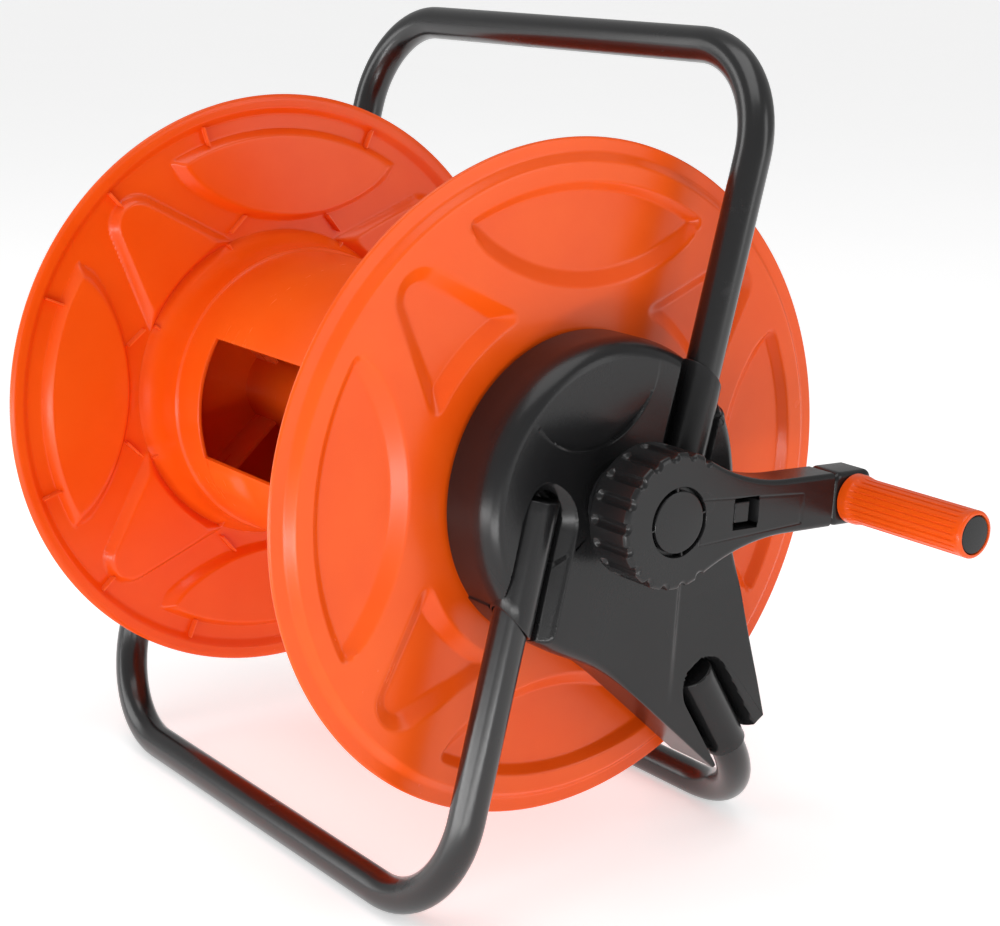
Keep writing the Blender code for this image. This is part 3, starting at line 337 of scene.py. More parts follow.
def lineCoords(line, y, z):
    # inverse of linePoint: along and across of a point in the side plane
    angle, side = line
    return y * np.cos(angle) + z * np.sin(angle), side - (y * np.sin(angle) - z * np.cos(angle))


# flanges
flange = {
    "radius": 185.0, "rimWall": 147.5, "shell": 2.5,
    "relief": 4.3, "pocket": 5.6, "pad": 6.0, "padWall": 4.0,
    "chamferTop": 172.6, "chamferFoot": 177.2, "journal": 16.2, "journalBore": 12.5, "journalEnd": 216.0,
    "lensOuter": 162.6, "lensInner": 106.6, "lensHalf": 31.0, "lensCut": 29.6,
    "fanInner": 100.5, "fanHalf": 22.0,
    "fanEnd": 146.8, "fanEndRadius": 16.8, "wideWall": 8.4, "thinWall": 5.4, "columns": 620,
}


def pocketDistances(y, z):
    # how far inside the two arcs and blunt tip of the nearest lens,
    # and the inner arc and sides of the nearest fan
    f = flange
    r, a = np.hypot(y, z), np.arctan2(z, y) - crankAngle
    quarter = np.pi / 2
    lens = np.mod(a + quarter / 2, quarter) - quarter / 2
    fan = np.mod(a, quarter) - quarter / 2
    tip = f["lensOuter"] * np.exp(1j * np.radians(f["lensHalf"]))
    centre = (abs(tip) ** 2 - f["lensInner"] ** 2) / (2 * (tip.real - f["lensInner"]))
    lensBulge = (centre - f["lensInner"]) - np.abs(r * np.exp(1j * lens) - centre)
    p = r * np.exp(1j * np.abs(fan))
    corner = f["fanInner"] * np.exp(1j * np.radians(f["fanHalf"]))
    reach = f["fanEnd"] - corner
    lean = np.arcsin(f["fanEndRadius"] / abs(reach))
    way = reach / abs(reach) * np.exp(1j * lean)           # side wall, touching the round end
    local = (p - corner) / way
    straight = -local.imag
    roundEnd = f["fanEndRadius"] - np.abs(p - f["fanEnd"])
    fanSide = np.where(local.real < abs(reach) * np.cos(lean), straight, roundEnd)
    lensTip = (np.radians(f["lensCut"]) - np.abs(lens)) * r
    return f["lensOuter"] - r, lensBulge, lensTip, r - f["fanInner"], fanSide


def pocketShare(y, z, grow, wide, thin):
    # how deep a point lies in a pocket; the two walls that meet in a corner run round it like a cone

    def cone(first, second, third=1.0):
        # 1 less the length of the shortfalls of the sides, rounded
        return ramp(1 - np.sqrt(sum(np.maximum(1 - side, 0) ** 2 for side in (first, second, third))), 0.1)
    lensOut, lensIn, lensTip, fanIn, fanSide = (distance + grow for distance in pocketDistances(y, z))
    return np.maximum(cone(lensOut / thin, lensIn / wide, lensTip / thin),
                      cone(fanIn / wide, fanSide / wide))


def padShare(y, z, grow, wall):
    # the same outlines with rounded corners: first + second - hypot(first, second) rounds their corner
    def blunt(first, second):
        first, second = np.maximum(first + grow, 0), np.maximum(second + grow, 0)
        return first + second - np.hypot(first, second)
    lensOut, lensIn, lensTip, fanIn, fanSide = pocketDistances(y, z)
    lens = np.minimum(blunt(lensOut, lensIn), blunt(lensIn, lensTip))
    return ramp(np.maximum(lens, blunt(fanIn, fanSide)) / wall, 0.14)


def flangeSurface(outerRows, innerRows):
    # closed shell: bore, journal, outer face, round rim and inner face,
    # in circles pushed along x by the pockets
    f = flange
    phi = crankAngle + np.linspace(0, 2 * np.pi, f["columns"], endpoint=False)
    half = f["shell"] / 2

    def faceRows(inside, count):
        r = np.concatenate([np.linspace(18, 94, 7), np.linspace(96, 170.5, count),
                            np.linspace(171.4, 178.4, 10), [180.2, 182.2, 183.4]])[:, None]
        y, z = r * np.cos(phi), r * np.sin(phi)
        step = f["relief"] * (1 - ramp((r - f["chamferTop"]) / (f["chamferFoot"] - f["chamferTop"])))
        if inside:
            bead = 0.5 * np.exp(-((r - 181.5) / 1.2) ** 2)
            pads = f["pad"] * padShare(y, z, 1.2, f["padWall"])
            x = f["rimWall"] - half + np.broadcast_to(step, y.shape) - pads - bead
        else:
            pockets = f["pocket"] * pocketShare(y, z, 0.0, f["wideWall"], f["thinWall"])
            x = f["rimWall"] + half + np.broadcast_to(step, y.shape) - pockets
        return np.stack([x, y, z], -1)

    def circleRow(pairs):
        pairs = np.array(pairs, float)
        r, x = pairs[:, :1], pairs[:, 1:]
        return np.stack(np.broadcast_arrays(x, r * np.cos(phi), r * np.sin(phi)), -1)

    faceOut, faceIn = f["rimWall"] + half + f["relief"], f["rimWall"] - half + f["relief"]
    j, b, e = f["journal"], f["journalBore"], f["journalEnd"]
    journal = circleRow([(b, faceIn), (b, e - 0.5), (b + 0.5, e), (j - 0.5, e), (j, e - 0.5),
                         (j, faceOut + 1.2), (j + 0.4, faceOut + 0.4), (j + 1.2, faceOut)])
    turn = np.radians(np.linspace(80, -80, 7))
    rimR, rimX = f["radius"] - half + half * np.cos(turn), f["rimWall"] + half * np.sin(turn)
    rim = circleRow(np.stack([rimR, rimX], -1))
    outside, inside = faceRows(False, outerRows), faceRows(True, innerRows)[::-1]
    return np.concatenate([journal, outside, rim, inside, journal[:1]])


def crossRibs():
    # thin webs across the channels inside a flange, each from one (radius, angle) to another
    ends = []
    for k in range(4):
        lens, fan = crankAngle + k * np.pi / 2, crankAngle + (k + 0.5) * np.pi / 2
        ends.append((163.6, fan, 174.5, fan))
        for way in (-1, 1):
            ends.append((162.5, lens + way * 0.36, 174.5, lens + way * 0.36))
            ends.append((113.0, lens + way * 0.27, 106.0, lens + way * 0.385))
            ends.append((93.5, fan + way * 0.37, 100.2, fan + way * 0.355))
    grids = []
    for r0, a0, r1, a1 in ends:
        p, q = r0 * np.exp(1j * a0), r1 * np.exp(1j * a1)
        t = np.array([0.0, 0.0, 1.0, 1.0])[:, None]
        across = np.array([0.6, 0.55, 0.35, -0.35, -0.55, -0.6])
        x = np.array([151.0, 146.0, 145.5, 145.5, 146.0, 151.0])
        shut = np.array([0.0, 1.0, 1.0, 0.0])[:, None]
        way = (q - p) / abs(q - p)
        c = p + (q - p) * t + 1j * way * across * shut
        grids.append((np.stack(np.broadcast_arrays(x, c.real, c.imag), -1), True))
    return grids


makePiece("flangeRight", [(flangeSurface(98, 20), True)], "reel", "orange_plastic", ["flange_right"])
makePiece("flangeLeft", [(flangeSurface(20, 98), True)], "reel", "orange_plastic", ["flange_left"],
          mirror=True)
makePiece("flangeRibsRight", crossRibs(), "reel", "orange_plastic", sharp=30)
makePiece("flangeRibsLeft", crossRibs(), "reel", "orange_plastic", sharp=30, mirror=True)
print("flanges made")

# drum
drum = {
    "radius": 90.5, "wall": 2.5, "collar": 1.5, "collarX": 118.5, "flare": 8.0, "flareX": 126.5, "end": 150.25,
    "core": 27.0, "windowCentre": 175.7, "windowHalf": 24.0, "windowEnd": 93.0,
    "gusset": 121.25, "gussetIn": 26.0, "gussetOut": 88.8, "gussetHalf": 1.2,
    "endWall": 145.25, "boss": 3.0,
}


def drumPiece():
    # skin swept from a radius that depends on x; the window is left out and closed by a rounded border
    d = drum
    middle = crankAngle + np.radians(d["windowCentre"])
    half = np.radians(d["windowHalf"])
    opening = np.linspace(-half, half, 49)
    rest = np.linspace(half, 2 * np.pi - half, 200)
    around = np.concatenate([opening[:-1], rest[:-1]])
    mid = np.linspace(-d["windowEnd"], d["windowEnd"], 80)
    tail = np.concatenate([np.linspace(d["windowEnd"], d["collarX"] - 1.2, 10),
                           d["collarX"] + np.array([-0.9, -0.6, 0.0, 0.35, 0.8, 1.6]),
                           np.linspace(d["collarX"] + 3, d["end"], 16)])
    inner = d["radius"] - d["wall"]

    def skin(x):
        # outer radius: plain, a small step up at the collar, then a flare to the flange
        a = np.abs(x)
        step = d["collar"] * ramp((a - d["collarX"] + 0.75) / 0.75)
        flare = np.clip((a - d["flareX"]) / (d["end"] - d["flareX"]), 0, 1) ** 2.5
        return d["radius"] + step + d["flare"] * flare

    def boss(x, angle):
        # low swelling under the window's lower edge, steep at its left end
        along = ramp((x + 90) / 3, 0.3) * (1 - ramp((x + 62) / 14, 0.3))
        past = angle - half
        return d["boss"] * along * ramp((past - 0.013) / 0.03, 0.3) * (1 - ramp((past - 0.16) / 0.16, 0.3))

    def sheet(x, angle, r):
        # grid of points at distance r from the axis, at every x and angle
        x, angle = x[:, None], middle + angle[None]
        return np.stack(np.broadcast_arrays(x, r * np.cos(angle), r * np.sin(angle)), -1)

    inTail = np.array([d["windowEnd"], 110, 130, d["endWall"]])
    grids = [(sheet(mid, rest, d["radius"] + boss(mid[:, None], rest[None])), False),
             (sheet(mid, rest, inner), False)]
    for side in (1, -1):
        grids += [(sheet(side * tail, around, skin(tail)[:, None]), True),
                  (sheet(side * inTail, around, inner), True)]
        rings = np.array([inner, 60, 45, d["core"]])[:, None]
        grids.append((sheet(np.full(4, side * d["endWall"]), around, rings), True))
        rings = np.array([skin(d["end"]), 60, 45, d["core"] - d["wall"]])[:, None]
        grids.append((sheet(np.full(4, side * d["end"]), around, rings), True))
    grids.append((sheet(np.linspace(-d["endWall"], d["endWall"], 30), around, d["core"]), True))
    grids.append((sheet(np.linspace(-d["end"], d["end"], 4), around, d["core"] - d["wall"]), True))
    e = d["windowEnd"]
    loopX = np.concatenate([mid, np.full(48, e), mid[::-1][1:], np.full(47, -e)])
    loopA = np.concatenate([np.full(80, -half), opening[1:], np.full(79, half), opening[::-1][1:-1]])
    layers = np.array([[d["radius"], 0.0], [d["radius"] - 0.5, -0.35], [inner + 0.5, -0.35], [inner, 0.0]])
    r = layers[:, :1]
    shrink = 1 + layers[:, 1:] / e
    angle = middle + loopA * shrink
    border = np.stack(np.broadcast_arrays(loopX * shrink, r * np.cos(angle), r * np.sin(angle)), -1)
    grids.append((border, True))
    return grids


def drumGussets():
    # short walls at each end, from the core tube to the skin, in line with the flanges' fans
    d = drum
    grids = []
    for place in range(4):
        angle = crankAngle + (place + 0.5) * np.pi / 2
        r = np.array([d["gussetIn"], d["gussetIn"], d["gussetOut"], d["gussetOut"], d["gussetIn"]])
        w = d["gussetHalf"] * np.array([-1, 1, 1, -1, -1])
        shut = np.array([0.0, 1.0, 1.0, 0.0])[:, None]
        y = r * np.cos(angle) - w * shut * np.sin(angle)
        z = r * np.sin(angle) + w * shut * np.cos(angle)
        for side in (1, -1):
            x = side * np.array([d["gusset"], d["gusset"], 145.4, 145.4])[:, None]
            grids.append((np.stack(np.broadcast_arrays(x, y, z), -1), False))
    return grids


makePiece("drumSkin", drumPiece(), "reel", "orange_plastic", ["drum_core"])
makePiece("drumGussets", drumGussets(), "reel", "orange_plastic", sharp=30)
print("drum made")

# stand tubes
stand = {
    "tube": 10.0, "wall": 1.2, "spread": 183.7, "drop": 213.63, "rise": 248.5,
    "lines": {"handle": (np.radians(73.7), 44.7), "front_leg": (np.radians(-105.7), 49.1),
              "rear_leg": (np.radians(-60.3), 3.3)},
    "starts": {"handle": 1.0, "front_leg": 4.5, "rear_leg": 127.0},
    "bends": {"handle": 57.5, "front_leg": 59.4, "rear_leg": 59.4},
}


def standTube(name):
    # U-shaped path of two sides, two quarter bends and a bar, with a circle carried along it outside and inside
    s = stand
    line = s["lines"][name]
    bend = s["bends"][name]
    angle, side = line
    reach = s["rise"] if name == "handle" else (-s["drop"] + np.cos(angle) * side) / np.sin(angle)
    start = s["starts"][name] + 3.3
    t = np.radians(np.linspace(0, 90, 22))
    along = np.concatenate([np.linspace(start, reach - bend - 2, 26), reach - bend + bend * np.sin(t)])
    x = np.concatenate([np.full(26, s["spread"]), s["spread"] - bend + bend * np.cos(t)])
    bar = np.linspace(s["spread"] - bend - 2, -(s["spread"] - bend - 2), 30)
    along = np.concatenate([along, np.full(30, reach), along[::-1]])
    x = np.concatenate([x, bar, -x[::-1]])
    path = linePoint(line, along, 0.0, x)
    normal = (0.0, -np.sin(angle), np.cos(angle))
    outer = tubeAlong(path, s["tube"], normal, 40)
    inner = tubeAlong(path, s["tube"] - s["wall"], normal, 40)[::-1]
    return np.concatenate([outer, inner, outer[:1]])


for tubeName in stand["lines"]:
    makePiece(tubeName + "Tube", [(standTube(tubeName), True)], "stand", "black_paint", [tubeName + "_tube"])
print("stand made")

# side brackets
bracket = {
    "radius": 85.5, "front": 192.5, "back": 156.0, "wall": 2.6, "tailRoot": 57.0, "tailTip": 22.5,
    "tailStart": 60.0, "tailEnd": 184.0, "blend": 12.0, "bore": 19.9,
    "sleeve": 11.95, "sleeveBore": 10.6, "columns": 720,
    "smileCentre": (-19.0, 76.0), "smileRadius": 44.5, "hollowFloor": 168.5,
    # for each slot: half width towards the axis, its ledge, half width away from the axis,
    # how far it starts early
    "slots": {"handle": (24.0, 16.5, 12.7, 10.5), "front_leg": (24.0, 16.5, 12.7, 10.5),
              "rear_leg": (17.0, 13.6, 17.0, 9.0)},
}


def bracketOutline():
    # disc and tapering tail blended by a smooth maximum of both radii, in points equally spaced along the edge
    b = bracket
    a = np.linspace(-np.pi, np.pi, 4001)
    c, s = np.cos(a), np.abs(np.sin(a))
    taper = (b["tailRoot"] - b["tailTip"]) / (b["tailEnd"] - b["tailStart"])
    side = (b["tailRoot"] + taper * b["tailStart"]) / (s + taper * np.maximum(c, 0.05))
    tail = np.where(c > 0.05, np.minimum(side, b["tailEnd"] / np.maximum(c, 0.05)), 1e-6)
    r = (b["radius"] ** b["blend"] + tail ** b["blend"]) ** (1 / b["blend"])
    p = r * np.exp(1j * (a + stand["lines"]["rear_leg"][0]))
    return evenly(p, b["columns"])


def slotLevel(y, z):
    # front face height left by the arched slots: a sloping shoulder, then a steep wall down to the floor
    level = np.full(y.shape, bracket["front"])
    for name, line in stand["lines"].items():
        along, across = lineCoords(line, y, z)
        outer, ledge, away, early = bracket["slots"][name]
        sideways = np.where(across > 0, across, across * outer / away)
        start = stand["starts"][name] - early

        def arch(begin, half):
            return half - np.hypot(np.maximum(begin + half - along, 0), sideways)
        wide, narrow = arch(start, outer), arch(start + early * 0.55, ledge)
        shoulder = 1.2 * ramp(wide / 0.8, 0.3) + 6.3 * ramp(wide / (outer - ledge))
        drop = shoulder + 11.4 * ramp((narrow + 0.6) / 1.4)
        level = np.minimum(level, bracket["front"] - drop)
    return level


def frontShape(y, z):
    # soft dome above the smile-shaped crease, a dip below it around the crank,
    # and a step beside the tail's ridge
    b = bracket
    smile = b["smileRadius"] - np.hypot(y - b["smileCentre"][0], z - b["smileCentre"][1])
    near = np.exp(-(np.hypot(y, z) / 62) ** 4)
    below = 1 - ramp(smile / 1.6 + 1, 0.3)
    roll = 3.0 * np.exp(-np.maximum(smile, 0) / 9.0) * (smile > 0) * np.clip((70 - z) / 30, 0, 1)
    dip = (roll + below * 2.4 * np.clip((z + 10) / 30, 0, 1)) * near
    ridge = 41.9 + (z + 56.3) * 0.105
    fade = np.clip((z + 125) / 60, 0, 1)
    step = 2.6 * ramp((y - ridge) / 3.4, 0.3) * fade * np.clip((-z - 30) / 16, 0, 1)
    return b["front"] - dip - step


def bracketSurface():
    # closed shell: boss bore, front face, rounded shoulder, skirt, back edge and hollow inside
    b = bracket
    edge = bracketOutline()
    normal = outward(edge)
    tailward = np.real(edge * np.exp(-1j * stand["lines"]["rear_leg"][0]))
    soft = 1 - ramp((tailward - 40) / 60)  # big shoulder on the disc, tight one on the tail
    cut, fall = 1.6 + 7.9 * soft, 2.0 + 13.0 * soft
    rows = []

    def addRow(p, x):
        rows.append(np.stack(np.broadcast_arrays(x, p.real, p.imag), -1))

    def shoulderRow(angle):
        p = edge - normal * cut * (1 - np.cos(angle))
        return p, b["front"] - fall * (1 - np.sin(angle))
    inset = edge - normal * cut
    ring = b["bore"] * edge / np.abs(edge)
    for x in (158.0, 175.0, 192.0):
        addRow(ring, x)
    for t in np.linspace(0, 1, 110):
        p = ring * (1.015 - 0.015 * t) * (1 - t) + inset * t
        addRow(p, np.minimum(frontShape(p.real, p.imag), slotLevel(p.real, p.imag)))
    for angle in np.radians(np.linspace(84, 0, 15)):
        p, x = shoulderRow(angle)
        lift = frontShape(p.real, p.imag) - b["front"]
        addRow(p, np.minimum(x + lift * np.sin(angle), slotLevel(p.real, p.imag)))
    level = slotLevel(edge.real, edge.imag)
    for x in (176.0, 172.0, 166.0, 160.0, 156.4):
        addRow(edge, np.minimum(x, level))
    addRow(edge - normal * 0.4, np.full(len(edge), b["back"]))
    inside = edge - normal * b["wall"]
    addRow(inside + normal * 0.4, np.full(len(edge), b["back"]))
    for x in (156.4, 164.0, 170.0):
        addRow(inside, np.minimum(x, level))
    under = np.minimum(b["front"] - 5.5, slotLevel(inside.real, inside.imag) - b["wall"])
    addRow(inside - normal * 8, np.maximum(under, b["hollowFloor"]))
    for t in np.linspace(0.9, 0.0, 40):
        p = ring * 1.32 * (1 - t) + (inside - normal * 8) * t
        under = np.minimum(b["front"] - 6.5, slotLevel(p.real, p.imag) - b["wall"])
        addRow(p, np.maximum(under, b["hollowFloor"]))
    addRow(ring * 1.32, 158.4)
    addRow(ring * 1.30, 158.0)
    addRow(ring, 158.0)
    return np.stack(rows)


def sleeveSurface(name):
    # closed cylinder about the tube's line; two of the sleeves end on a cylinder about the axis
    b = bracket
    line = stand["lines"][name]
    start = stand["starts"][name]
    phi = np.linspace(0, 2 * np.pi, 56, endpoint=False)
    rows = []

    def addRow(r, along, back=0.0):
        across = r * np.cos(phi)
        if along is None:
            end = 184.0 if name == "rear_leg" else np.sqrt(86.5 ** 2 - (line[1] - across) ** 2)
            along = end - back
        rows.append(linePoint(line, along, across, stand["spread"] + r * np.sin(phi)))
    r, bore = b["sleeve"], b["sleeveBore"]
    for radius, offset in ((0.0, 0), (6.0, 0), (r - 1.2, 0), (r - 0.6, 0.15), (r - 0.15, 0.6),
                           (r, 1.2), (r, 6), (r, 20)):
        addRow(radius, start + offset)
    addRow(r, None, 8.0)
    addRow(r, None, 0.5)
    addRow(r - 0.4, None)
    addRow(bore + 0.3, None)
    addRow(bore, None, 0.5)
    addRow(bore, None, 8.0)
    addRow(bore, start + 6)
    addRow(bore, start + 3)
    addRow(0.0, start + 3)
    return np.stack(rows)


for mirrorSide, sideName in ((False, "right"), (True, "left")):
    label = sideName.capitalize()
    makePiece("sideBracket" + label, [(bracketSurface(), True)], "stand", "black_plastic",
              ["side_bracket_" + sideName], mirror=mirrorSide)
    makePiece("bracketSleeves" + label, [(sleeveSurface(n), True) for n in stand["lines"]], "stand",
              "black_plastic", mirror=mirrorSide)
print("side brackets made")

# crank
crank = {
    "hub": 36.0, "half": 14.9, "blend": 120.0, "seam": 112.0, "back": 217.8, "front": 238.3, "recess": 18.3,
    "capFloor": 234.3, "grooveRadius": 3.3, "grooveCentre": 37.2, "hubDepth": 8.3,
    "pitch": 20.0, "count": 13, "columns": 760, "edgeRound": 3.2,
    "latch": 46.5, "latchHalf": 8.0,
    "spacerIn": 16.5, "spacerOut": 18.4, "spacerStart": 195.4, "spacerEnd": 217.6,
    "capRadius": 16.3, "capStart": 234.6, "capEnd": 238.25, "bridgeAngles": (12, 98, 190, 282),
    "pin": 6.5, "pinStart": 237.0, "pinEnd": 319.2,
}


def crankOutline(end):
    # hub circle joined to a straight arm by hollow arcs that touch both, in evenly spaced points
    c = crank
    span = np.sqrt((c["hub"] + c["blend"]) ** 2 - (c["half"] + c["blend"]) ** 2)
    touch = np.arccos(span / (c["hub"] + c["blend"]))
    hubArc = c["hub"] * np.exp(1j * np.linspace(touch, 2 * np.pi - touch, 900))
    sweep = np.linspace(-np.pi / 2, -np.pi + touch, 300)
    hollow = span + 1j * (c["half"] + c["blend"]) + c["blend"] * np.exp(1j * sweep)
    corner = 0.8 * np.exp(1j * np.linspace(0, np.pi / 2, 8)) + (end - 0.8) + 1j * (c["half"] - 0.8)
    upper = np.concatenate([corner, hollow])
    p = np.concatenate([upper, hubArc[1:-1], np.conj(upper[::-1])])
    p = np.append(p, p[0])
    return evenly(p, c["columns"])


def grooveDepth(angle, x):
    # round finger grooves around the hub's far side, each with a ball end at the back
    c = crank
    k = np.radians(c["pitch"])
    off = np.mod(angle - np.pi + k / 2, k) - k / 2
    inRange = np.abs(np.angle(np.exp(1j * (angle - np.pi)))) < k * (c["count"] / 2)
    s = off * c["hub"]
    ball = np.minimum(x - (c["back"] - c["hubDepth"] + 6.0), 0.0)
    inside = np.maximum(c["grooveRadius"] ** 2 - s ** 2 - ball ** 2, 0.0)
    return np.where(inRange, np.maximum(np.sqrt(inside) - (c["grooveCentre"] - c["hub"]), 0.0), 0.0)


def crankSurface():
    # closed solid: recess floor, face, rounded front edge, grooved side, back edge and back face
    c = crank
    edge = crankOutline(c["seam"])
    normal = outward(edge)
    angle = np.angle(edge)
    onHub = np.abs(np.abs(edge) - c["hub"]) < 0.4
    back = c["back"] - c["hubDepth"] * (1 - ramp((edge.real - 16) / 16))  # the hub is deeper than the arm

    def inwards(distance):
        straight = c["half"] - distance
        end = np.minimum(edge.real, c["seam"] - np.minimum(distance, 0.3))
        arm = end + 1j * np.clip(edge.imag, -straight, straight)
        return np.where(edge.real > 90, arm, edge - normal * distance)
    rows = []

    def addRow(p, x):
        x = np.broadcast_to(x, p.shape)
        cut = np.where(onHub, grooveDepth(angle, x), 0.0) * ramp((np.abs(p) - 30.5) / 3.5)
        q = p - normal * cut
        q = q * np.exp(1j * crankAngle)
        rows.append(np.stack([x, q.real, q.imag], -1))

    def face(p):
        u, v = p.real, p.imag
        window = np.minimum(c["latchHalf"] - np.abs(u - c["latch"]), c["latchHalf"] - np.abs(v))
        panel = np.minimum.reduce([u - 15, 88 - u, 12.0 - 0.055 * (u - 15) - np.abs(v + 2.0)])
        line = 0.22 * np.exp(-(panel / 0.5) ** 2) * (u > 12)
        return c["front"] - 12.0 * ramp((window + 0.4) / 0.8) - line

    spoke = edge / np.abs(edge)
    for r, x in ((0.0, c["capFloor"]), (c["recess"] - 0.3, c["capFloor"]),
                 (c["recess"], c["capFloor"] + 0.3), (c["recess"], c["front"] - 0.4)):
        addRow(spoke * r, x)
    soft = c["edgeRound"]
    inset = inwards(soft)
    for t in np.linspace(0, 1, 74) ** 0.92:
        p = spoke * (c["recess"] + 0.3) * (1 - t) + inset * t
        addRow(p, face(p))
    for a in np.radians(np.linspace(80, 0, 9)):
        addRow(inwards(soft * (1 - np.cos(a))), c["front"] - 2.4 * (1 - np.sin(a)))
    for t in np.linspace(0, 1, 30):
        addRow(edge, (c["front"] - 3.0) * (1 - t) + (back + 1.4) * t)
    for a in np.radians(np.linspace(0, 90, 5)):
        addRow(inwards(1.2 * (1 - np.cos(a))), back + 1.2 * (1 - np.sin(a)))
    for t in np.linspace(0.97, 0, 16):
        addRow(inwards(1.2) * t, np.where(np.abs(edge) * t < 19.0, c["back"], back) if t < 0.9 else back)
    return np.stack(rows)


def slab(outline, x0, x1, roundFront, roundBack):
    # closed plate from an outline, both faces edged by quarter curves
    normal = outward(outline)
    centre = outline.mean()
    rows = []

    def addRow(p, x):
        q = p * np.exp(1j * crankAngle)
        rows.append(np.stack(np.broadcast_arrays(x, q.real, q.imag), -1))
    quarter = np.radians(np.linspace(0, 90, 7))
    inner = outline - normal * roundBack
    for t in (0.0, 0.5, 0.97):
        addRow(centre + (inner - centre) * t, x0)
    for a in quarter[::-1]:
        addRow(outline - normal * roundBack * (1 - np.cos(a)), x0 + roundBack * (1 - np.sin(a)))
    for a in quarter:
        addRow(outline - normal * roundFront * (1 - np.cos(a)), x1 - roundFront * (1 - np.sin(a)))
    inner = outline - normal * roundFront
    for t in (0.97, 0.5, 0.0):
        addRow(centre + (inner - centre) * t, x1)
    return np.stack(rows)


def roundBox(u0, u1, half, corner):
    # rounded rectangle, anticlockwise
    quarter = np.exp(1j * np.linspace(0, np.pi / 2, 10)) * corner
    parts = [(u1 - corner) + 1j * (half - corner) + quarter,
             (u0 + corner) + 1j * (half - corner) + quarter * 1j,
             (u0 + corner) - 1j * (half - corner) - quarter,
             (u1 - corner) - 1j * (half - corner) - quarter * 1j]
    p = np.concatenate(parts)
    p = np.append(p, p[0])
    return evenly(p, 220)


k = crank
spacer = rounded([(k["spacerIn"], k["spacerStart"]), (k["spacerOut"], k["spacerStart"]),
                  (k["spacerOut"], k["spacerEnd"]), (k["spacerIn"], k["spacerEnd"])], 0.4, 4)  # over the journal
makePiece("crankArm", [(crankSurface(), True), (lathe(spacer, 72), True)], "reel", "black_plastic",
          ["crank_arm"])
tip = [(slab(roundBox(112.3, 141.0, 14.9, 5.0), crank["back"], crank["front"], 3.0, 1.2), True),
       (slab(roundBox(40.6, 51.0, 5.6, 0.8), 228.0, 236.0, 0.8, 0.3), True),
       (lathe([(0, k["pinStart"]), (k["pin"], k["pinStart"]), (k["pin"], k["pinEnd"] - 0.7),
               (k["pin"] - 0.5, k["pinEnd"]), (0, k["pinEnd"])], 40,
              (0, gripAxis[1], gripAxis[2]), closed=False), True)]
makePiece("crankTip", tip, "reel", "black_plastic", ["crank_tip_block"])
capProfile = rounded([(0, k["capStart"]), (k["capRadius"], k["capStart"]),
                      (k["capRadius"], k["capEnd"]), (0, k["capEnd"])], (0, 0.3, 0.8, 0), 5, False)
bridges = []
for bridgeAngle in np.radians(k["bridgeAngles"]):
    turned = np.exp(1j * bridgeAngle)
    bar = roundBox(15.9, 18.6, 0.5, 0.2) * turned
    bridges.append((slab(bar, 234.4, 237.9, 0.2, 0.1), True))
makePiece("crankCap", [(lathe(capProfile, 96, closed=False), True)] + bridges, "reel", "black_plastic",
          ["crank_cap"])
print("crank made")

# grip
grip = {"start": 238.6, "end": 323.6, "radius": 12.8, "collar": 13.8, "flutes": 24, "fluteDepth": 0.55,
        "bore": 6.9, "seat": 10.6, "seatFloor": 319.6}


def gripSurface():
    # sleeve turned about the pin, its radius cut by flutes that fade out at both ends
    g = grip
    phi = np.linspace(0, 2 * np.pi, 480, endpoint=False)
    flute = np.clip(1 - np.abs(np.mod(phi * g["flutes"] / (2 * np.pi), 1) - 0.5) / 0.2, 0, 1) ** 0.7
    x = np.concatenate([[g["start"]], g["start"] + np.array([0.25, 0.8, 3.0, 5.2, 5.8, 6.4, 7.5, 9.5]),
                        np.linspace(250, 314, 28), np.linspace(315, 321.4, 14), [322.4, 323.1, 323.5, g["end"]]])
    collar = (g["collar"] - g["radius"]) * (1 - ramp((x - g["start"] - 5.6) / 5.0))
    round0 = 1.1 * np.clip(1 - (x - g["start"]) / 0.8, 0, 1) ** 2
    round1 = 1.2 * np.clip((x - g["end"] + 1.2) / 1.2, 0, 1) ** 2
    fade = ramp((x - 245.0) / 3.0) * (1 - ramp((x - 316.5) / 3.0))
    r = (g["radius"] + collar - round0 - round1)[:, None] - g["fluteDepth"] * fade[:, None] * flute[None]
    inside = np.array([(10.75, g["end"]), (g["seat"], g["end"] - 0.3), (g["seat"], g["seatFloor"]),
                       (g["bore"], g["seatFloor"]), (g["bore"], 238.8), (7.2, g["start"])])

    def rings(x, r):
        y, z = r * np.cos(phi) + gripAxis[1], r * np.sin(phi) + gripAxis[2]
        return np.stack(np.broadcast_arrays(x, y, z), -1)
    outer = rings(x[:, None], r)
    return np.concatenate([outer, rings(inside[:, 1:], inside[:, :1]), outer[:1]])


makePiece("gripSleeve", [(gripSurface(), True)], "grip", "orange_plastic", ["grip_sleeve"])
endCap = rounded([(0, 319.9), (10.2, 319.9), (10.2, 323.4), (0, 323.4)], (0, 0.2, 0.9, 0), 5, False)
makePiece("gripEndCap", [(lathe(endCap, 72, (0, gripAxis[1], gripAxis[2]), closed=False), True)], "reel",
          "black_plastic", ["grip_end_cap"])
print("grip made")


# camera, light and floor
def lookAt(item, target):
    # turns a lamp's face towards a point
    item.rotation_euler = (Vector(target) - item.location).to_track_quat("-Z", "Y").to_euler()


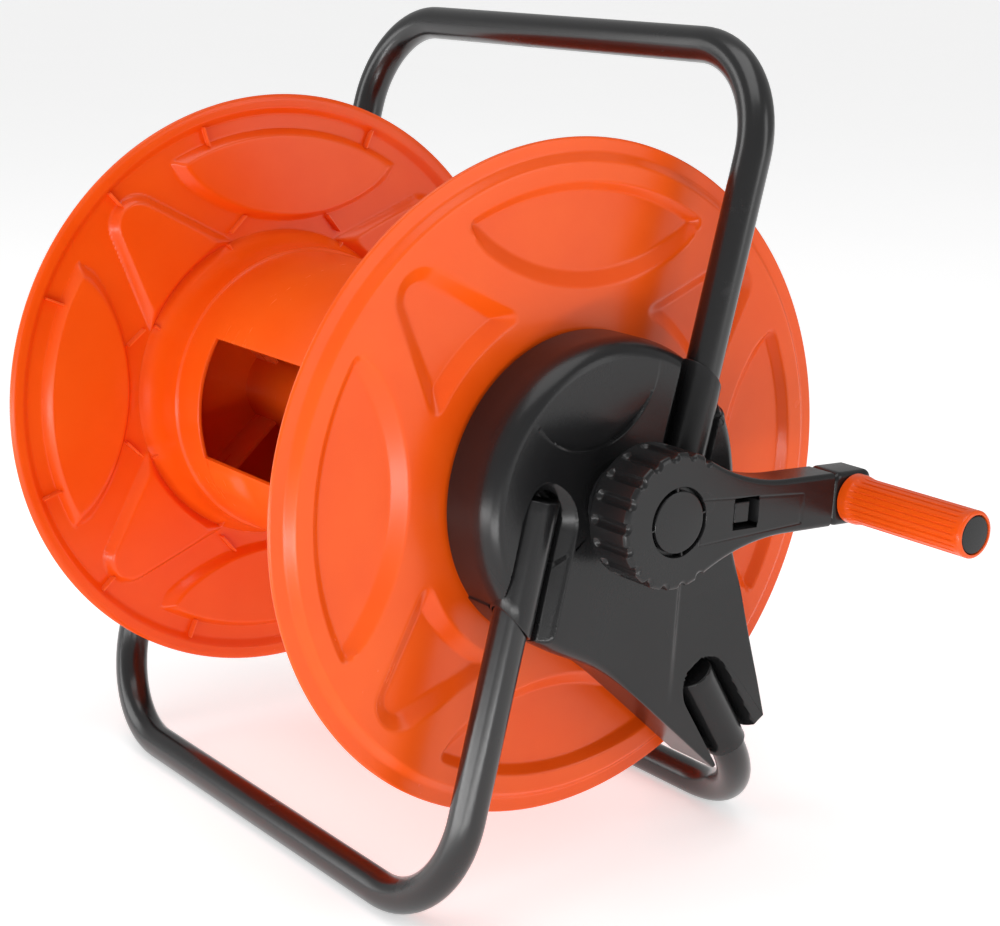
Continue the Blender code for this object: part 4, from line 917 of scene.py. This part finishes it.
view = {"place": (0.90930, -0.64666, 0.52328), "azimuth": 50.756, "elevation": 15.76, "roll": 0.276,
        "lens": 71.68, "shift": (-0.0767, 0.0036)}
cameraData = bpy.data.cameras.new("camera")
cameraData.lens = view["lens"]
cameraData.sensor_width = 36
cameraData.shift_x, cameraData.shift_y = view["shift"]
camera = bpy.data.objects.new("camera", cameraData)
camera.location = view["place"]
azimuth, elevation = np.radians(view["azimuth"]), np.radians(view["elevation"])
flat = np.cos(elevation)
forward = Vector((-flat * np.sin(azimuth), flat * np.cos(azimuth), -np.sin(elevation)))
camera.rotation_euler = (forward.to_track_quat("-Z", "Y").to_matrix()
                         @ Matrix.Rotation(np.radians(view["roll"]), 3, "Z")).to_euler()
bpy.context.scene.collection.objects.link(camera)
bpy.context.scene.camera = camera

lamps = {
    "overhead": {"place": (0.3, -0.2, 2.2), "aim": (0, 0, 0.2), "size": (1.6, 1.6), "power": 14.8},
    "leftLow": {"place": (0.0, -1.15, 0.06), "aim": (0, 0, 0.3), "size": (1.2, 0.16), "power": 4.8},
    "leftSide": {"place": (-1.6, -1.9, 1.0), "aim": (0, 0, 0.25), "size": (0.9, 1.6), "power": 12.9},
    "floorFront": {"place": (0.66, -0.565, 0.012), "aim": (0.56, -0.477, 0.5), "size": (0.6, 0.16),
                   "power": 4.6},
    "rightSide": {"place": (2.0, 1.1, 0.9), "aim": (0, 0, 0.2), "size": (0.7, 1.6), "power": 7.4},
}
for lampName, lamp in lamps.items():
    data = bpy.data.lights.new(lampName, "AREA")
    data.shape = "RECTANGLE"
    data.size, data.size_y = lamp["size"]
    data.energy = lamp["power"]
    item = bpy.data.objects.new(lampName, data)
    item.location = lamp["place"]
    item.visible_camera = False
    lookAt(item, lamp["aim"])
    bpy.context.scene.collection.objects.link(item)

print("camera and lamps placed")

world = bpy.data.worlds.new("studio")
world.use_nodes = True
nodes, links = world.node_tree.nodes, world.node_tree.links
soft = nodes["Background"]  # what lights the reel
soft.inputs["Color"].default_value = (1, 1, 1, 1)
soft.inputs["Strength"].default_value = 0.45
sky = nodes.new("ShaderNodeBackground")  # what the camera sees past the floor
sky.inputs["Color"].default_value = (0.87, 0.87, 0.87, 1)
pick, ray = nodes.new("ShaderNodeMixShader"), nodes.new("ShaderNodeLightPath")
links.new(ray.outputs["Is Camera Ray"], pick.inputs[0])
links.new(soft.outputs[0], pick.inputs[1])
links.new(sky.outputs[0], pick.inputs[2])
links.new(pick.outputs[0], nodes["World Output"].inputs["Surface"])
bpy.context.scene.world = world
bpy.context.scene.view_settings.view_transform = "Standard"

floorMesh = bpy.data.meshes.new("floor")
reach = 40  # m, far enough to run to the horizon
corners = [(-reach, -reach, 0), (reach, -reach, 0), (reach, reach, 0), (-reach, reach, 0)]
floorMesh.from_pydata(corners, [], [(0, 1, 2, 3)])
floor = bpy.data.objects.new("floor", floorMesh)
floorFinish = Finish("paleFloor")
floorCloud = floorFinish.noise(3.0)
floorFinish.drive("Base Color", floorFinish.blend(floorCloud, (0.93, 0.93, 0.93, 1), (0.96, 0.96, 0.96, 1)))
floorFinish.set(Roughness=0.7, Emission_Color=(1, 1, 1, 1), Emission_Strength=0.46)
floorMesh.materials.append(floorFinish.material)
bpy.context.scene.collection.objects.link(floor)
